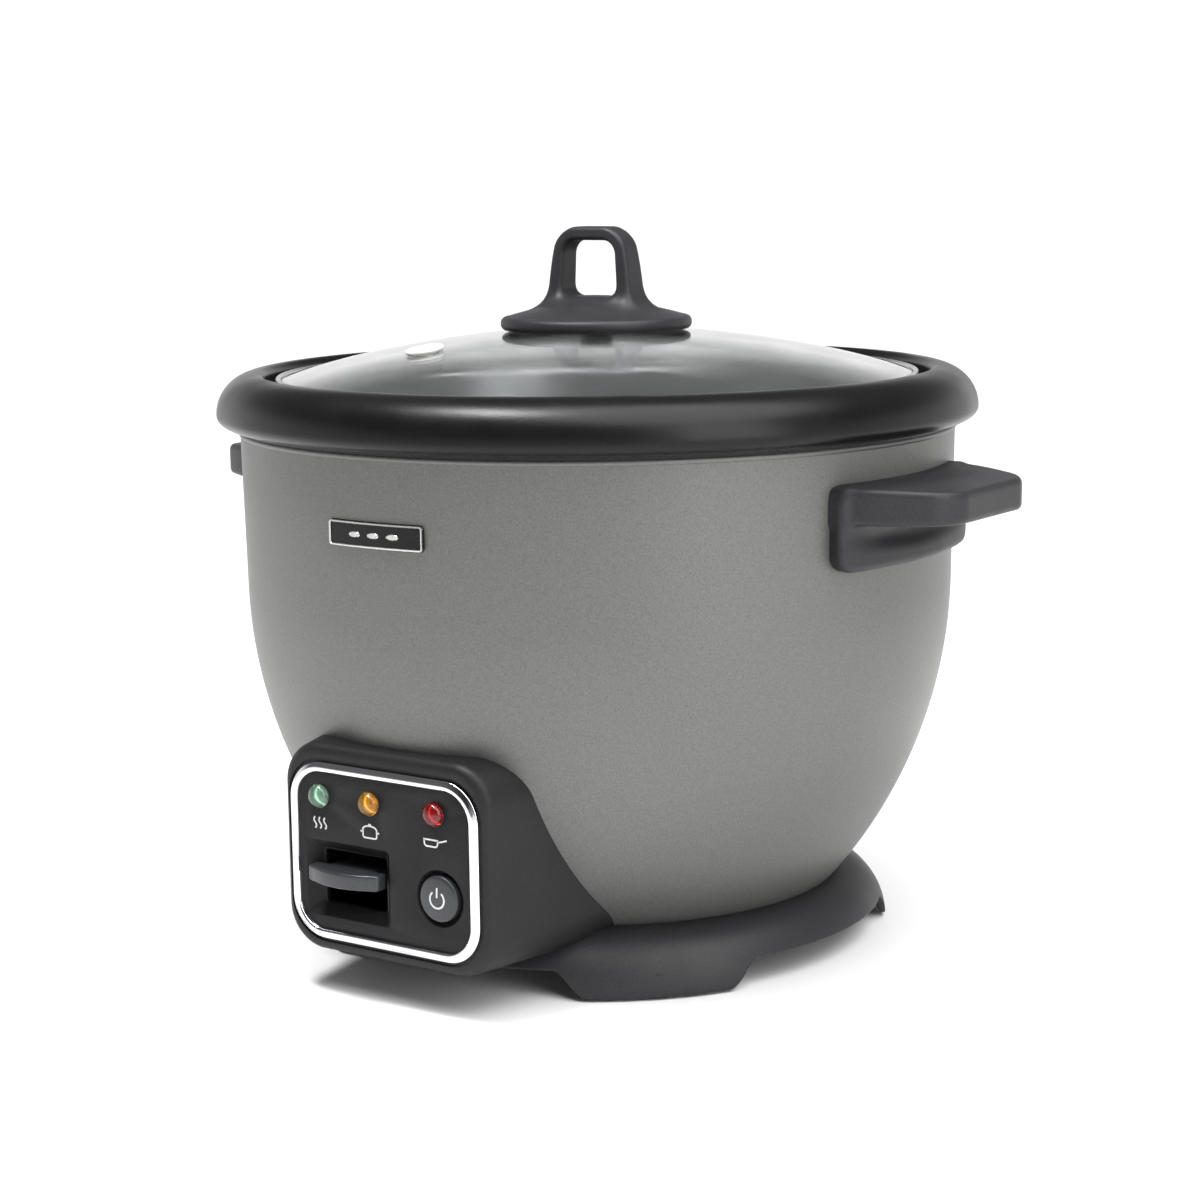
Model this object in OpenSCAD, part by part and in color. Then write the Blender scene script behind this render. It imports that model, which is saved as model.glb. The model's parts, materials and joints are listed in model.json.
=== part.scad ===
// Rice cooker with a round steel shell, a glass lid, a lift-out pot and a front control housing.
// Millimetres, +Z up. The origin is on the shell's axis at the level of the feet.
// The control housing faces -Y and the two side handles lie along X.

/* [Shell and ring] */
// Outer diameter of the steel shell at its top edge
body_d = 263.2; // [225:0.2:320]
// Height of the shell's top edge
shell_top_z = 190; // [165:1:232]
// How much narrower the straight wall is at its foot than at its top edge, on the radius
wall_draft = 1; // [0:0.2:3]
// Height at which the straight wall starts to curve in
bowl_z = 135; // [120:1:150]
// Radius of the bowl curve in side view
bowl_r = 173.8; // [150:0.2:205]
// Sheet thickness of the shell
shell_t = 1; // [0.6:0.1:1.6]
// How far the top ring overhangs the shell
ring_overhang = 8.4; // [5:0.2:14]
// Height of the top ring's crest above the shell's top edge
ring_crest_h = 20; // [15:0.5:26]
// Height of the top ring's widest line above the shell's top edge
ring_bulge_h = 5.4; // [4:0.2:8]
// Wall of the moulded top ring
ring_t = 2.6; // [1.8:0.1:3.4]

/* [Base] */
// Height of the shelf on which the shell stands
base_h = 22; // [20:0.5:26]
// How far the base flares out past the shell's foot
base_flare = 20.6; // [15:0.2:26]
// Wall of the moulded base
base_t = 2.6; // [2:0.1:3.4]
// Height of the arches between the four feet
arch_h = 10.4; // [7:0.2:11]
// Half of the angle that one foot takes at the floor
foot_half_angle = 14; // [10:1:20]
// Radius of a rubber foot pad
pad_r = 7; // [5:0.5:8]
// How far the rubber pads stand below the feet
pad_out = 1; // [0.6:0.1:1.5]
// Thickness of the bottom cover
cover_t = 1.6; // [1:0.1:2.2]

/* [Pot and liner] */
// Outer radius of the pot's wall
pot_r = 111; // [92:0.5:138]
// Wall of the pot
pot_t = 2; // [1.2:0.1:2.6]
// Height of the heating plate's top above the shell's floor, where the pot stands
plate_h = 38; // [36:0.5:44]
// Corner radius of the pot's floor
pot_corner_r = 38; // [30:0.5:44]
// How far the pot's rim flange stands out from its wall
pot_flange_w = 9.5; // [8:0.1:10.5]
// Height of the pot's rim flange above the shell's top edge
pot_flange_h = 10.5; // [9:0.5:14]
// Sheet thickness of the liner
liner_t = 0.8; // [0.5:0.1:1.2]
// Gap between the pot and the liner
liner_gap = 3.5; // [2.5:0.1:5]
// Gap between the pot's flange and the top ring
flange_gap = 1.9; // [1:0.1:3]

/* [Lid] */
// Rise of the glass dome
dome_h = 17; // [12:0.5:26]
// Thickness of the glass
glass_t = 3.6; // [3:0.2:5]
// Height of the lid's steel rim band
rim_h = 5; // [4:0.2:7]
// Radius of the knob's disc
knob_r = 35.3; // [28:0.1:40]
// Thickness of the knob's disc
knob_disc_t = 5; // [4:0.2:7]
// Rise of the knob's disc towards its centre
knob_crown = 5; // [2:0.5:8]
// Outer width of the knob's arch at its foot
arch_foot_w = 40; // [34:0.5:46]
// Outer width of the knob's arch at its top
arch_top_w = 30; // [24:0.5:34]
// Height of the knob's arch above its disc
arch_top_h = 32.5; // [26:0.5:38]
// Depth of the knob's arch
arch_depth = 12; // [9:0.5:16]
// Thickness of the knob's arch
arch_t = 5; // [4:0.1:6]
// Distance of the steam vent from the lid's centre
vent_r = 70.5; // [60:0.5:92]
// Direction of the steam vent, counted from the front towards the left handle
vent_angle = 25.5; // [20:0.5:150]

/* [Control housing] */
// Width of the housing's front face
face_w = 88; // [84:0.5:96]
// Lowest edge of the housing's front face
face_z0 = 15.2; // [13:0.2:17]
// Highest edge of the housing's front face
face_z1 = 88.5; // [84:0.5:96]
// Corner radius of the front face
face_corner_r = 15; // [11:0.5:18]
// Angle at which the housing's sides flare towards the shell
flare_angle = 11; // [6:0.5:14]
// Wall of the housing
housing_t = 2.5; // [2:0.1:3]
// Outer width of the chrome trim
trim_w = 81.4; // [78:0.2:83]
// Outer height of the chrome trim
trim_h = 62.7; // [60:0.1:65]
// Width of the chrome trim's band
trim_band = 3.6; // [2.5:0.1:4.5]
// How far the chrome trim stands proud of the housing
trim_out = 1.6; // [1:0.1:2.4]
// Thickness of the control panel
panel_t = 2.4; // [2:0.1:3]
// Diameter of a lamp lens
lens_d = 8.5; // [7:0.1:9.5]
// Diameter of the power button
button_d = 16; // [12:0.2:17]
// Travel of the power button
button_travel = 3; // [2:0.5:4]
// Width of the lever's recess in the panel
recess_w = 34.6; // [33:0.2:36]
// Width of the cook lever's paddle
paddle_w = 31; // [26:0.5:31]
// Thickness of the paddle
paddle_t = 5.6; // [4:0.1:6.4]
// How far the paddle stands out of the panel
paddle_out = 7; // [5:0.5:9]

/* [Mechanism] */
// How far the magnet rises when the lever is pressed down
magnet_travel = 5.9; // [4:0.1:6]
// Distance from the lever's pivot to the shell's axis
pivot_y = 62; // [58:1:66]
// Radius of the lever's pivot pin
pivot_r = 1.5; // [1.2:0.1:2]
// Running clearance of a pin or a rod in its hole, on the radius
run_clear = 0.06; // [0.03:0.01:0.1]
// Radius of the thermostat cap
cap_r = 17; // [15:0.5:19]
// How far the thermostat cap can be pushed in
cap_travel = 2.5; // [1.5:0.5:3]

/* [Handles and badge] */
// How far the handle's grip stands out from the shell
grip_out = 30; // [20:0.2:32]
// Width of the handle where it meets the shell
handle_w = 90; // [76:1:100]
// Length of the straight outer edge of the grip
grip_edge_w = 60; // [48:1:66]
// Thickness of the grip
grip_t = 11; // [8:0.5:13]
// Height of the handle's pad on the shell
handle_pad_h = 29; // [24:0.5:34]
// Distance from the shell's top edge down to the handle's top
handle_drop = 13; // [10:0.5:20]
// Width of the blank badge plate
badge_w = 40; // [30:1:50]
// Height of the blank badge plate
badge_h = 9; // [7:0.5:12]
// Distance from the shell's top edge down to the badge's centre
badge_drop = 27; // [22:1:36]

/* [Hidden] */

// smoothness of the large round pieces, the small ones, and the children of a hull
big_fn = 96;
small_fn = 32;
hull_fn = 32;
// small gap between pieces that only just clear each other
gap = 0.3;
// hair's breadth between a moulded piece and the shell or base that it follows
skin_gap = 0.05;
// overlap that makes a cut run clean through a face
cut = 1;

// radii and heights of the shell
body_r = body_d / 2;
wall_foot_r = body_r - wall_draft;
bowl_c = wall_foot_r - bowl_r;
function shell_r(z) = z < bowl_z
    ? bowl_c + sqrt(bowl_r * bowl_r - (bowl_z - z) * (bowl_z - z))
    : wall_foot_r + wall_draft * (z - bowl_z) / (shell_top_z - bowl_z);
waist_r = shell_r(base_h);
bowl_steps = 18;
bowl_heights = [for (i = [0:bowl_steps]) base_h + (bowl_z - base_h) * i / bowl_steps];
bead_r = 1.1;
window_w = 76;
window_h = 40;

// top ring
liner_flange_t = liner_t;
seat_z = shell_top_z + liner_flange_t;
bulge_z = shell_top_z + ring_bulge_h;
crest_z = shell_top_z + ring_crest_h;
ring_r = body_r + ring_overhang;
lip_r = body_r + 1;
ring_round = 3;
pot_flange_r = pot_r + pot_flange_w;
ring_in_r = pot_flange_r + flange_gap;
ring_steps = 10;

// pot, liner and lid
plate_z = base_h + plate_h;
pot_top_z = shell_top_z + pot_flange_h;
pot_flange_t = 2.2;
pot_draft = 2;
pot_foot_r = pot_r - pot_draft;
pot_floor_r = pot_foot_r - pot_corner_r;
corner_steps = 8;
liner_r = pot_r + liner_gap;
liner_floor_z = plate_z - 16;

// plate that heats the pot, its legs, and the flat they stand on in the liner
plate_r = pot_floor_r + 4;
plate_hole_r = cap_r + 1;
element_w = 10;
element_r = (plate_hole_r + plate_r) / 2 - 5.5;
leg_r = 5;
leg_room = 1.3;
plate_leg_r = (element_r + element_w / 2 + plate_r) / 2 - 3.5;
liner_corner_r = liner_r + liner_t - plate_leg_r - leg_r - leg_room;

lid_z = pot_top_z + pot_flange_t;
lid_r = pot_flange_r - 2.2;
glass_r = lid_r - 2;
dome_r = (glass_r * glass_r + dome_h * dome_h) / (2 * dome_h);
glass_z = lid_z + 1;
dome_c = glass_z + dome_h - dome_r;
apex_z = dome_c + dome_r + glass_t;
// the knob's disc follows the dome, this far above the glass
knob_lift = 0.8;
knob_under_r = dome_r + glass_t + knob_lift;
knob_z = dome_c + sqrt(pow(knob_under_r, 2) - pow(knob_r, 2));
knob_floor_z = knob_z + knob_disc_t + knob_crown + 1.2;
knob_hole_r = 4;
vent_hole_r = 5;

// base and feet
foot_r = waist_r + base_flare;
pad_circle_r = foot_r - 11.5;
pad_t = 3;
boss_r = pad_r + 1.4;
foot_angles = [45, 135, 225, 315];
cover_z = arch_h + 0.2;
cover_r = waist_r + 12;
cover_screw_r = waist_r - 12;
cover_slot_rs = [22, 44];
cover_screw_angles = [22.5, 112.5, 202.5, 292.5];
shelf_t = 3;
shelf_z = base_h - shelf_t;

// spacers between the shell's floor and the flat of the liner's floor
spacer_circle_r = liner_r + liner_t - liner_corner_r - 6.15;
spacer_r = 4.5;
floor_hole_r = spacer_circle_r - 4.3;
shelf_in_r = floor_hole_r + 2;
m4_hole_r = 2.1;
m4_tap_r = 1.9;
m4_r = 1.8;
spacer_angles = [90, 210, 330];
plate_leg_angles = [30, 150, 270];

// heating plate and thermostat
plate_t = 8;
element_h = 5;
terminal_angles = [75, 105];
terminal_r = 1.8;
terminal_drop = 8;
bush_r = 3.5;
cap_wall = 1;
cap_top_t = 1.2;
cap_skirt_h = plate_z - liner_floor_z - liner_t - cap_travel - 1.2;
spring_r = 13.2;
fuse_r = 2.8;
fuse_x = -44;

// bracket under the liner, its cup and the magnet that the lever's arm lifts
bracket_r = element_r - bush_r - 3.5;
bracket_t = 1.4;
liner_hole_r = bracket_r - 6;
rivet_circle_r = bracket_r - 3;
rivet_r = 1.6;
cup_r = 10;
cup_wall = 1.2;
cup_floor_z = liner_floor_z - 10;
ferrite_h = 6;
ferrite_r = 11;
magnet_r = 8.5;
magnet_t = 6;
magnet_z = liner_floor_z - 6.5;
rod_r = 2.5;
// the raised arm stops this far under the cup, and at rest this far under the rod
arm_stop_gap = 0.8;
rod_gap = 0.4;
arm_top_z = cup_floor_z - magnet_travel - arm_stop_gap;

// control housing
face_y = -(body_r - 0.6);
trim_z = face_z0 + 36.2;
panel_w = trim_w - 5.4;
panel_h = trim_h - 5.4;
panel_corner_r = 11;
rim_w = 1.6;
trim_corner_r = 14;
housing_back_y = -(waist_r - 28);
housing_flare = (housing_back_y - face_y) * tan(flare_angle);
housing_rise = 5;
lamp_z = trim_z + 19.2;
lamp_xs = [-panel_w / 2 + 10.1, -panel_w / 2 + 32.2, panel_w / 2 - 15.9];
lens_stem_r = lens_d / 2 - 0.75;
board_t = 1.4;
board_up = 2.5;
board_down = 7;
board_post_xs = [(lamp_xs[0] + lamp_xs[1]) / 2, (lamp_xs[1] + lamp_xs[2]) / 2];
board_y = -(shell_r(lamp_z + board_up) + 0.4 + board_t);
button_x = panel_w / 2 - 14.1;
button_z = trim_z - 9.6;
button_hole_r = button_d / 2 + 0.25;
lever_x = -panel_w / 2 + 22;
paddle_z = trim_z - 7.7;
recess_depth = 4.5;
recess_wall = 2;
slot_w = 27;
neck_w = 20;
switch_y = face_y + 14;
switch_w = 18;
stem_r = 3;
stem_end = switch_y - face_y + 1 - button_travel;
housing_screw_angle = 17.5;
housing_screw_z = trim_z + 27.6;

// lever
pivot_z = plate_z - 26;
lever_reach = -face_y - pivot_y + paddle_out;
lever_angle = asin(magnet_travel / pivot_y);
paddle_drop = lever_reach * sin(lever_angle);
recess_z1 = paddle_z + paddle_t / 2 + 7.3;
recess_z0 = paddle_z - paddle_t / 2 - paddle_drop - 4.4;
slot_z1 = recess_z1 - 3;
slot_z0 = recess_z0 + 2.6;
arm_w = 12;
arm_t = 2;
ear_t = 1.5;
ear_xs = [lever_x - 14, lever_x + 11];
neck_end_y = face_y + 14;
knee_y = neck_end_y + 14;
knee_end_y = -pivot_y - 4;
// the switch's plunger stops this far under the resting arm
plunger_gap = 1.9;

// handles
handle_top_z = shell_top_z - handle_drop;
handle_screw_angles = [-12, 12];
grip_z = handle_top_z - grip_t - 1.5;
handle_screw_z = grip_z + grip_t / 2;

// rear inlet
inlet_z = base_h + 21;
inlet_w = 42;
inlet_h = 34;
inlet_out = 8;
inlet_face_y = shell_r(inlet_z + inlet_h / 2) + inlet_out;
socket_w = 27;
socket_h = 20;
socket_d = 16;
plug_w = 33.2;
plug_h = 25.2;
inlet_in_y = inlet_face_y - socket_d - 3;
pin_r = 2;
pin_spots = [[-7, -3], [7, -3], [0, 4]];
block_t = 14;
block_y = spacer_circle_r + spacer_r + 1.5 + block_t / 2;

// points on an arc of an ellipse, from angle a0 to a1
function arc(cx, cy, rx, ry, a0, a1, n) =
    [for (i = [0:n]) let (a = a0 + (a1 - a0) * i / n) [cx + rx * cos(a), cy + ry * sin(a)]];

// rings of a round wire that follows the points given, each ring square to its stretch
function unit(v) = v / norm(v);
function heading(p, i) = unit(p[min(i + 1, len(p) - 1)] - p[max(i - 1, 0)]);
function side_of(t) = unit(cross(t, abs(t[2]) > 0.9 ? [1, 0, 0] : [0, 0, 1]));
module wire(p, r, sides = 8) {
    rings = [for (i = [0:len(p) - 1])
        let (t = heading(p, i), u = side_of(t), v = cross(t, u))
            for (k = [0:sides - 1])
                p[i] + r * cos(360 * k / sides) * u + r * sin(360 * k / sides) * v];
    last = len(p) - 1;
    walls = [for (i = [0:last - 1]) for (k = [0:sides - 1])
        let (a = i * sides + k, b = i * sides + (k + 1) % sides)
            [a, a + sides, b + sides, b]];
    ends = [[for (k = [0:sides - 1]) k],
            [for (k = [sides - 1:-1:0]) last * sides + k]];
    polyhedron(rings, concat(walls, ends), convexity = 6);
}

// helical spring along +Z from z = 0, its ends within the height given
module coil(radius, wire_r, height, turns) {
    per_turn = 16;
    count = turns * per_turn;
    rise = height - 2 * wire_r;
    wire([for (i = [0:count])
        [radius * cos(360 * i / per_turn), radius * sin(360 * i / per_turn),
         wire_r + rise * i / count]], wire_r, 6);
}

module at_angles(angles, radius) {
    for (a = angles) rotate(a) translate([radius, 0, 0]) children();
}

// rounded rectangle about the origin
module rounded(w, h, r) {
    union() {
        square([w - 2 * r, h], center = true);
        square([w, h - 2 * r], center = true);
        for (x = [-1, 1]) for (y = [-1, 1])
            translate([x * (w / 2 - r), y * (h / 2 - r)]) circle(r, $fn = small_fn);
    }
}

// plate that stands across Y, its profile drawn in X and Z about the height z
module across(y0, y1, z) {
    translate([0, y1, z]) rotate([90, 0, 0]) linear_extrude(y1 - y0) children();
}

// pan-head screw: the head's top is at z = 0 and the shank runs down
module screw(r, length, head_r, head_t) {
    translate([0, 0, -head_t]) cylinder(r = head_r, h = head_t, $fn = small_fn);
    translate([0, 0, -head_t - length]) cylinder(r = r, h = length, $fn = small_fn);
}

// everything inside the shell's outer surface, grown by extra
module shell_envelope(extra) {
    rotate_extrude($fn = big_fn) polygon(concat(
        [[0, base_h - cut]],
        [[waist_r + extra, base_h - cut]],
        [for (z = bowl_heights) [shell_r(z) + extra, z]],
        [[body_r + extra, shell_top_z], [0, shell_top_z]]));
}

// everything inside the base's outer surface, grown by extra
module base_envelope(extra) {
    rotate_extrude($fn = big_fn) polygon(concat(
        [[0, pad_out - extra], [foot_r + extra, pad_out - extra]],
        arc(waist_r, pad_out, base_flare + extra, base_h - pad_out + extra, 0, 90, 10),
        [[0, base_h + extra]]));
}

module outer_shell() {
    color("silver") difference() {
        union() {
            rotate_extrude($fn = big_fn) polygon(concat(
                [[floor_hole_r, base_h]],
                [for (z = bowl_heights) [shell_r(z), z]],
                [[body_r, shell_top_z], [body_r - shell_t, shell_top_z]],
                [for (i = [bowl_steps:-1:0])
                    [shell_r(bowl_heights[i]) - shell_t, max(bowl_heights[i], base_h + shell_t)]],
                [[floor_hole_r, base_h + shell_t]]));
            rotate_extrude($fn = big_fn)
                translate([body_r - bead_r + 0.6, shell_top_z - bead_r]) circle(bead_r, $fn = 16);
        }
        // window behind the control housing for the lever and the wires
        translate([-window_w / 2, face_y, base_h + 4]) cube([window_w, -face_y - 60, window_h]);
        // window for the mains inlet
        translate([-plug_w / 2 - gap, 60, inlet_z - plug_h / 2 - gap])
            cube([plug_w + 2 * gap, body_r, plug_h + 2 * gap]);
        at_angles(spacer_angles, spacer_circle_r) translate([0, 0, base_h - cut])
            cylinder(r = m4_hole_r, h = shell_t + 2 * cut, $fn = small_fn);
        for (side = [0, 180]) for (a = handle_screw_angles)
            rotate(side + a) translate([body_r - 8, 0, handle_screw_z])
                rotate([0, 90, 0]) cylinder(r = m4_hole_r, h = 12, $fn = small_fn);
        for (s = [-1, 1]) on_shell(-90 + s * housing_screw_angle, housing_screw_z)
            translate([0, 0, -4]) cylinder(r = m4_hole_r, h = 8, $fn = small_fn);
    }
}

module top_ring() {
    top_rx = ring_r - ring_in_r - ring_round;
    color([0.09, 0.09, 0.1]) rotate_extrude($fn = big_fn) polygon(concat(
        [[ring_in_r, seat_z]],
        arc(ring_in_r + ring_round, crest_z - ring_round, ring_round, ring_round, 180, 90, 4),
        arc(ring_in_r + ring_round, bulge_z, top_rx, crest_z - bulge_z, 90, 0, ring_steps),
        arc(lip_r, bulge_z, ring_r - lip_r, bulge_z - seat_z, 0, -90, 5),
        [[lip_r - ring_t, seat_z], [lip_r - ring_t, bulge_z]],
        arc(ring_in_r + ring_round, bulge_z, top_rx - ring_t, crest_z - bulge_z - ring_t, 0, 90,
            ring_steps),
        [[ring_in_r + ring_t, crest_z - ring_round - ring_t], [ring_in_r + ring_t, seat_z]]));
}

// outline of the grip seen from above, from inside the shell to its straight outer edge
module grip_outline() {
    reach = body_r + grip_out;
    round_r = (handle_w - grip_edge_w) / 2;
    polygon(concat(
        [[body_r - 30, -handle_w / 2]],
        arc(reach - round_r * 0.8, -grip_edge_w / 2, round_r * 0.8, round_r, -90, 0, 6),
        arc(reach - round_r * 0.8, grip_edge_w / 2, round_r * 0.8, round_r, 0, 90, 6),
        [[body_r - 30, handle_w / 2]]));
}

module handle_side() {
    pad_t = 5;
    pad_round = 9;
    color([0.12, 0.12, 0.13]) difference() {
        union() {
            intersection() {
                translate([0, 0, handle_top_z - handle_pad_h]) rotate_extrude($fn = big_fn)
                    translate([body_r - 20, 0]) square([20 + pad_t, handle_pad_h]);
                translate([body_r - 30, 0, handle_top_z - handle_pad_h / 2]) rotate([90, 0, 90])
                    linear_extrude(60) rounded(handle_w, handle_pad_h, pad_round);
            }
            translate([0, 0, grip_z]) linear_extrude(grip_t) grip_outline();
        }
        shell_envelope(skin_gap);
        for (a = handle_screw_angles) rotate(a)
            translate([body_r - 8, 0, handle_screw_z]) rotate([0, 90, 0])
                cylinder(r = m4_tap_r, h = 20, $fn = small_fn);
    }
}

module handle_right() handle_side();

module handle_left() rotate(180) handle_side();

module handle_screws() {
    inner_r = body_r - shell_t - 1.1;
    color("silver") for (side = [0, 180]) for (a = handle_screw_angles)
        rotate(side + a) translate([inner_r - 2, 0, handle_screw_z])
            rotate([0, -90, 0]) screw(m4_r, 11, 3.5, 2);
}

module badge_plate() {
    badge_t = 1.6;
    badge_z = shell_top_z - badge_drop;
    color([0.1, 0.1, 0.1]) difference() {
        intersection() {
            translate([0, 0, badge_z - badge_h / 2])
                cylinder(r = shell_r(badge_z) + badge_t, h = badge_h, $fn = big_fn);
            across(-body_r - 10, -body_r / 2, badge_z) rounded(badge_w, badge_h, 1.2);
        }
        shell_envelope(skin_gap);
    }
}

// one arch between two feet, cut along +X, its sides in a smooth S
module arch_cut() {
    low_w = foot_r * sin(45 - foot_half_angle);
    high_w = low_w - 11;
    steps = 8;
    side = [for (i = [0:steps])
        let (s = i / steps) [low_w + (high_w - low_w) * s, arch_h * (1 - cos(180 * s)) / 2]];
    rotate([90, 0, 90]) linear_extrude(foot_r + 10) polygon(concat(
        [[-low_w - 2, -cut], [low_w + 2, -cut]],
        side,
        [for (i = [steps:-1:0]) [-side[i][0], side[i][1]]]));
}

module base() {
    color([0.13, 0.13, 0.14]) difference() {
        union() {
            difference() {
                base_envelope(0);
                rotate_extrude($fn = big_fn) polygon(concat(
                    [[0, -cut], [foot_r - base_t, -cut]],
                    arc(waist_r, pad_out, base_flare - base_t, base_h - pad_out - base_t, 0, 90, 10),
                    [[0, shelf_z]]));
                cylinder(r = shelf_in_r, h = base_h + cut, $fn = big_fn);
                for (a = [0:90:270]) rotate(a) arch_cut();
            }
            intersection() {
                base_envelope(0);
                union() {
                    at_angles(foot_angles, pad_circle_r)
                        cylinder(r = boss_r, h = base_h, $fn = small_fn);
                    at_angles(cover_screw_angles, cover_screw_r)
                        translate([0, 0, cover_z + cover_t])
                            cylinder(r = 4, h = shelf_z - cover_z, $fn = small_fn);
                }
            }
        }
        at_angles(foot_angles, pad_circle_r)
            cylinder(r = pad_r, h = pad_t, $fn = small_fn);
        at_angles(cover_screw_angles, cover_screw_r)
            translate([0, 0, cover_z]) cylinder(r = m4_tap_r, h = 7, $fn = small_fn);
        at_angles(spacer_angles, spacer_circle_r)
            cylinder(r = m4_hole_r, h = base_h + cut, $fn = small_fn);
    }
}

module foot_pads() {
    color([0.2, 0.2, 0.2]) at_angles(foot_angles, pad_circle_r)
        cylinder(r = pad_r, h = pad_t, $fn = small_fn);
}

module bottom_cover() {
    slot_count = 16;
    color([0.1, 0.1, 0.1]) difference() {
        translate([0, 0, cover_z]) cylinder(r = cover_r, h = cover_t, $fn = big_fn);
        at_angles(foot_angles, pad_circle_r) cylinder(r = boss_r + gap, h = base_h, $fn = small_fn);
        at_angles(cover_screw_angles, cover_screw_r)
            cylinder(r = m4_hole_r, h = base_h, $fn = small_fn);
        for (i = [0:slot_count - 1]) rotate(360 * i / slot_count) for (r = cover_slot_rs)
            translate([r, -1.5, cover_z - cut]) cube([16, 3, cover_t + 2 * cut]);
    }
}

module cover_screws() {
    color("silver") at_angles(cover_screw_angles, cover_screw_r)
        translate([0, 0, cover_z - 2]) mirror([0, 0, 1]) screw(m4_r, 6.4, 3.4, 2);
}

module base_screws() {
    color("silver") at_angles(spacer_angles, spacer_circle_r)
        translate([0, 0, shelf_z - 2.4]) mirror([0, 0, 1]) screw(m4_r, 17, 3.6, 2.4);
}

// solid of the housing: two rounded slabs joined, shrunk by wall on every side
module housing_form(wall) {
    h = face_z1 - face_z0;
    zc = (face_z0 + face_z1) / 2;
    hull() {
        across(face_y + wall, face_y + wall + 1, zc)
            offset(r = face_corner_r - wall, $fn = hull_fn)
                square([face_w - 2 * face_corner_r, h - 2 * face_corner_r], center = true);
        across(housing_back_y, housing_back_y + 1, zc + housing_rise / 2)
            offset(r = face_corner_r - wall, $fn = hull_fn)
                square([face_w + 2 * housing_flare - 2 * face_corner_r,
                        h + housing_rise - 2 * face_corner_r], center = true);
    }
}

// on the shell's outer surface at height z, with +Z along the outward normal
module on_shell(direction, z) {
    tilt = z < bowl_z ? asin((bowl_z - z) / bowl_r) : 0;
    rotate(direction) translate([shell_r(z), 0, z]) rotate([0, 90 + tilt, 0]) children();
}

module control_housing() {
    rim_t = 1.5;
    color([0.14, 0.14, 0.15]) difference() {
        union() {
            difference() {
                housing_form(0);
                difference() {
                    housing_form(housing_t);
                    // rim that the panel is pressed against
                    across(face_y, face_y + panel_t + rim_t, trim_z) difference() {
                        square([2 * face_w, 2 * face_z1], center = true);
                        rounded(panel_w - 2 * rim_w, panel_h - 2 * rim_w, panel_corner_r - rim_w);
                    }
                }
                across(face_y - cut, face_y + panel_t, trim_z)
                    rounded(panel_w + gap, panel_h + gap, panel_corner_r);
                across(face_y - cut, face_y + panel_t + 4, trim_z)
                    rounded(panel_w - 2 * rim_w, panel_h - 2 * rim_w, panel_corner_r - rim_w);
            }
            // bosses that the screws from inside the shell hold, each with a rib to the side wall
            intersection() {
                housing_form(housing_t / 2);
                for (s = [-1, 1]) on_shell(-90 + s * housing_screw_angle, housing_screw_z) {
                    cylinder(r = 3.5, h = 8.5, $fn = small_fn);
                    translate([-1.2, min(0, s * 14), 0]) cube([2.4, 14, 8.5]);
                }
            }
        }
        for (s = [-1, 1]) on_shell(-90 + s * housing_screw_angle, housing_screw_z)
            translate([0, 0, -cut]) cylinder(r = m4_tap_r, h = 8, $fn = small_fn);
        shell_envelope(skin_gap);
        base_envelope(skin_gap);
        translate([0, 0, base_h - 1]) cylinder(r = waist_r + skin_gap, h = 2, $fn = big_fn);
    }
}

module housing_screws() {
    // driven from inside the shell
    color("silver") for (s = [-1, 1]) on_shell(-90 + s * housing_screw_angle, housing_screw_z)
        translate([0, 0, -shell_t - 0.4]) {
            cylinder(r = m4_r, h = 6.5, $fn = small_fn);
            translate([0, 0, -2]) cylinder(r = 3.4, h = 2, $fn = small_fn);
        }
}

module lens_holes(r) {
    for (x = lamp_xs) translate([x, face_y - cut, lamp_z]) rotate([-90, 0, 0])
        cylinder(r = r, h = panel_t + 2 * cut, $fn = small_fn);
}

module control_panel() {
    recess_zc = (recess_z0 + recess_z1) / 2;
    recess_h = recess_z1 - recess_z0;
    color([0.1, 0.1, 0.11]) difference() {
        union() {
            across(face_y, face_y + panel_t, trim_z) rounded(panel_w, panel_h, panel_corner_r);
            // tray around the lever's recess
            intersection() {
                across(face_y + 1, face_y + recess_depth + recess_wall, recess_zc)
                    translate([lever_x, 0]) square([recess_w + 2 * recess_wall,
                                                    recess_h + 2 * recess_wall], center = true);
                across(face_y, face_y + 20, trim_z)
                    rounded(panel_w - 2 * rim_w - gap, panel_h - 2 * rim_w - gap,
                            panel_corner_r - rim_w);
            }
            // collar that guides the power button
            translate([button_x, face_y + 1, button_z]) rotate([-90, 0, 0])
                cylinder(r = button_hole_r + 1.6, h = 8, $fn = small_fn * 2);
            // posts that carry the lamp board
            for (x = board_post_xs) translate([x, face_y + 1, lamp_z]) rotate([-90, 0, 0])
                cylinder(r = 2.2, h = board_y - face_y - 1, $fn = small_fn);
        }
        across(face_y - cut, face_y + recess_depth, recess_zc)
            translate([lever_x, 0]) square([recess_w, recess_h], center = true);
        across(face_y, face_y + 20, (slot_z0 + slot_z1) / 2)
            translate([lever_x, 0]) square([slot_w, slot_z1 - slot_z0], center = true);
        translate([button_x, face_y - cut, button_z]) rotate([-90, 0, 0])
            cylinder(r = button_hole_r, h = 12, $fn = small_fn * 2);
        translate([button_x, face_y - cut, button_z]) rotate([-90, 0, 0])
            cylinder(r = button_hole_r + 1.4, h = cut + 1, $fn = small_fn * 2);
        lens_holes(lens_stem_r + 0.05);
    }
}

module panel_trim() {
    color([0.85, 0.85, 0.87]) across(face_y - trim_out, face_y, trim_z) difference() {
        rounded(trim_w, trim_h, trim_corner_r);
        rounded(trim_w - 2 * trim_band, trim_h - 2 * trim_band, trim_corner_r - trim_band);
    }
}

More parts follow.
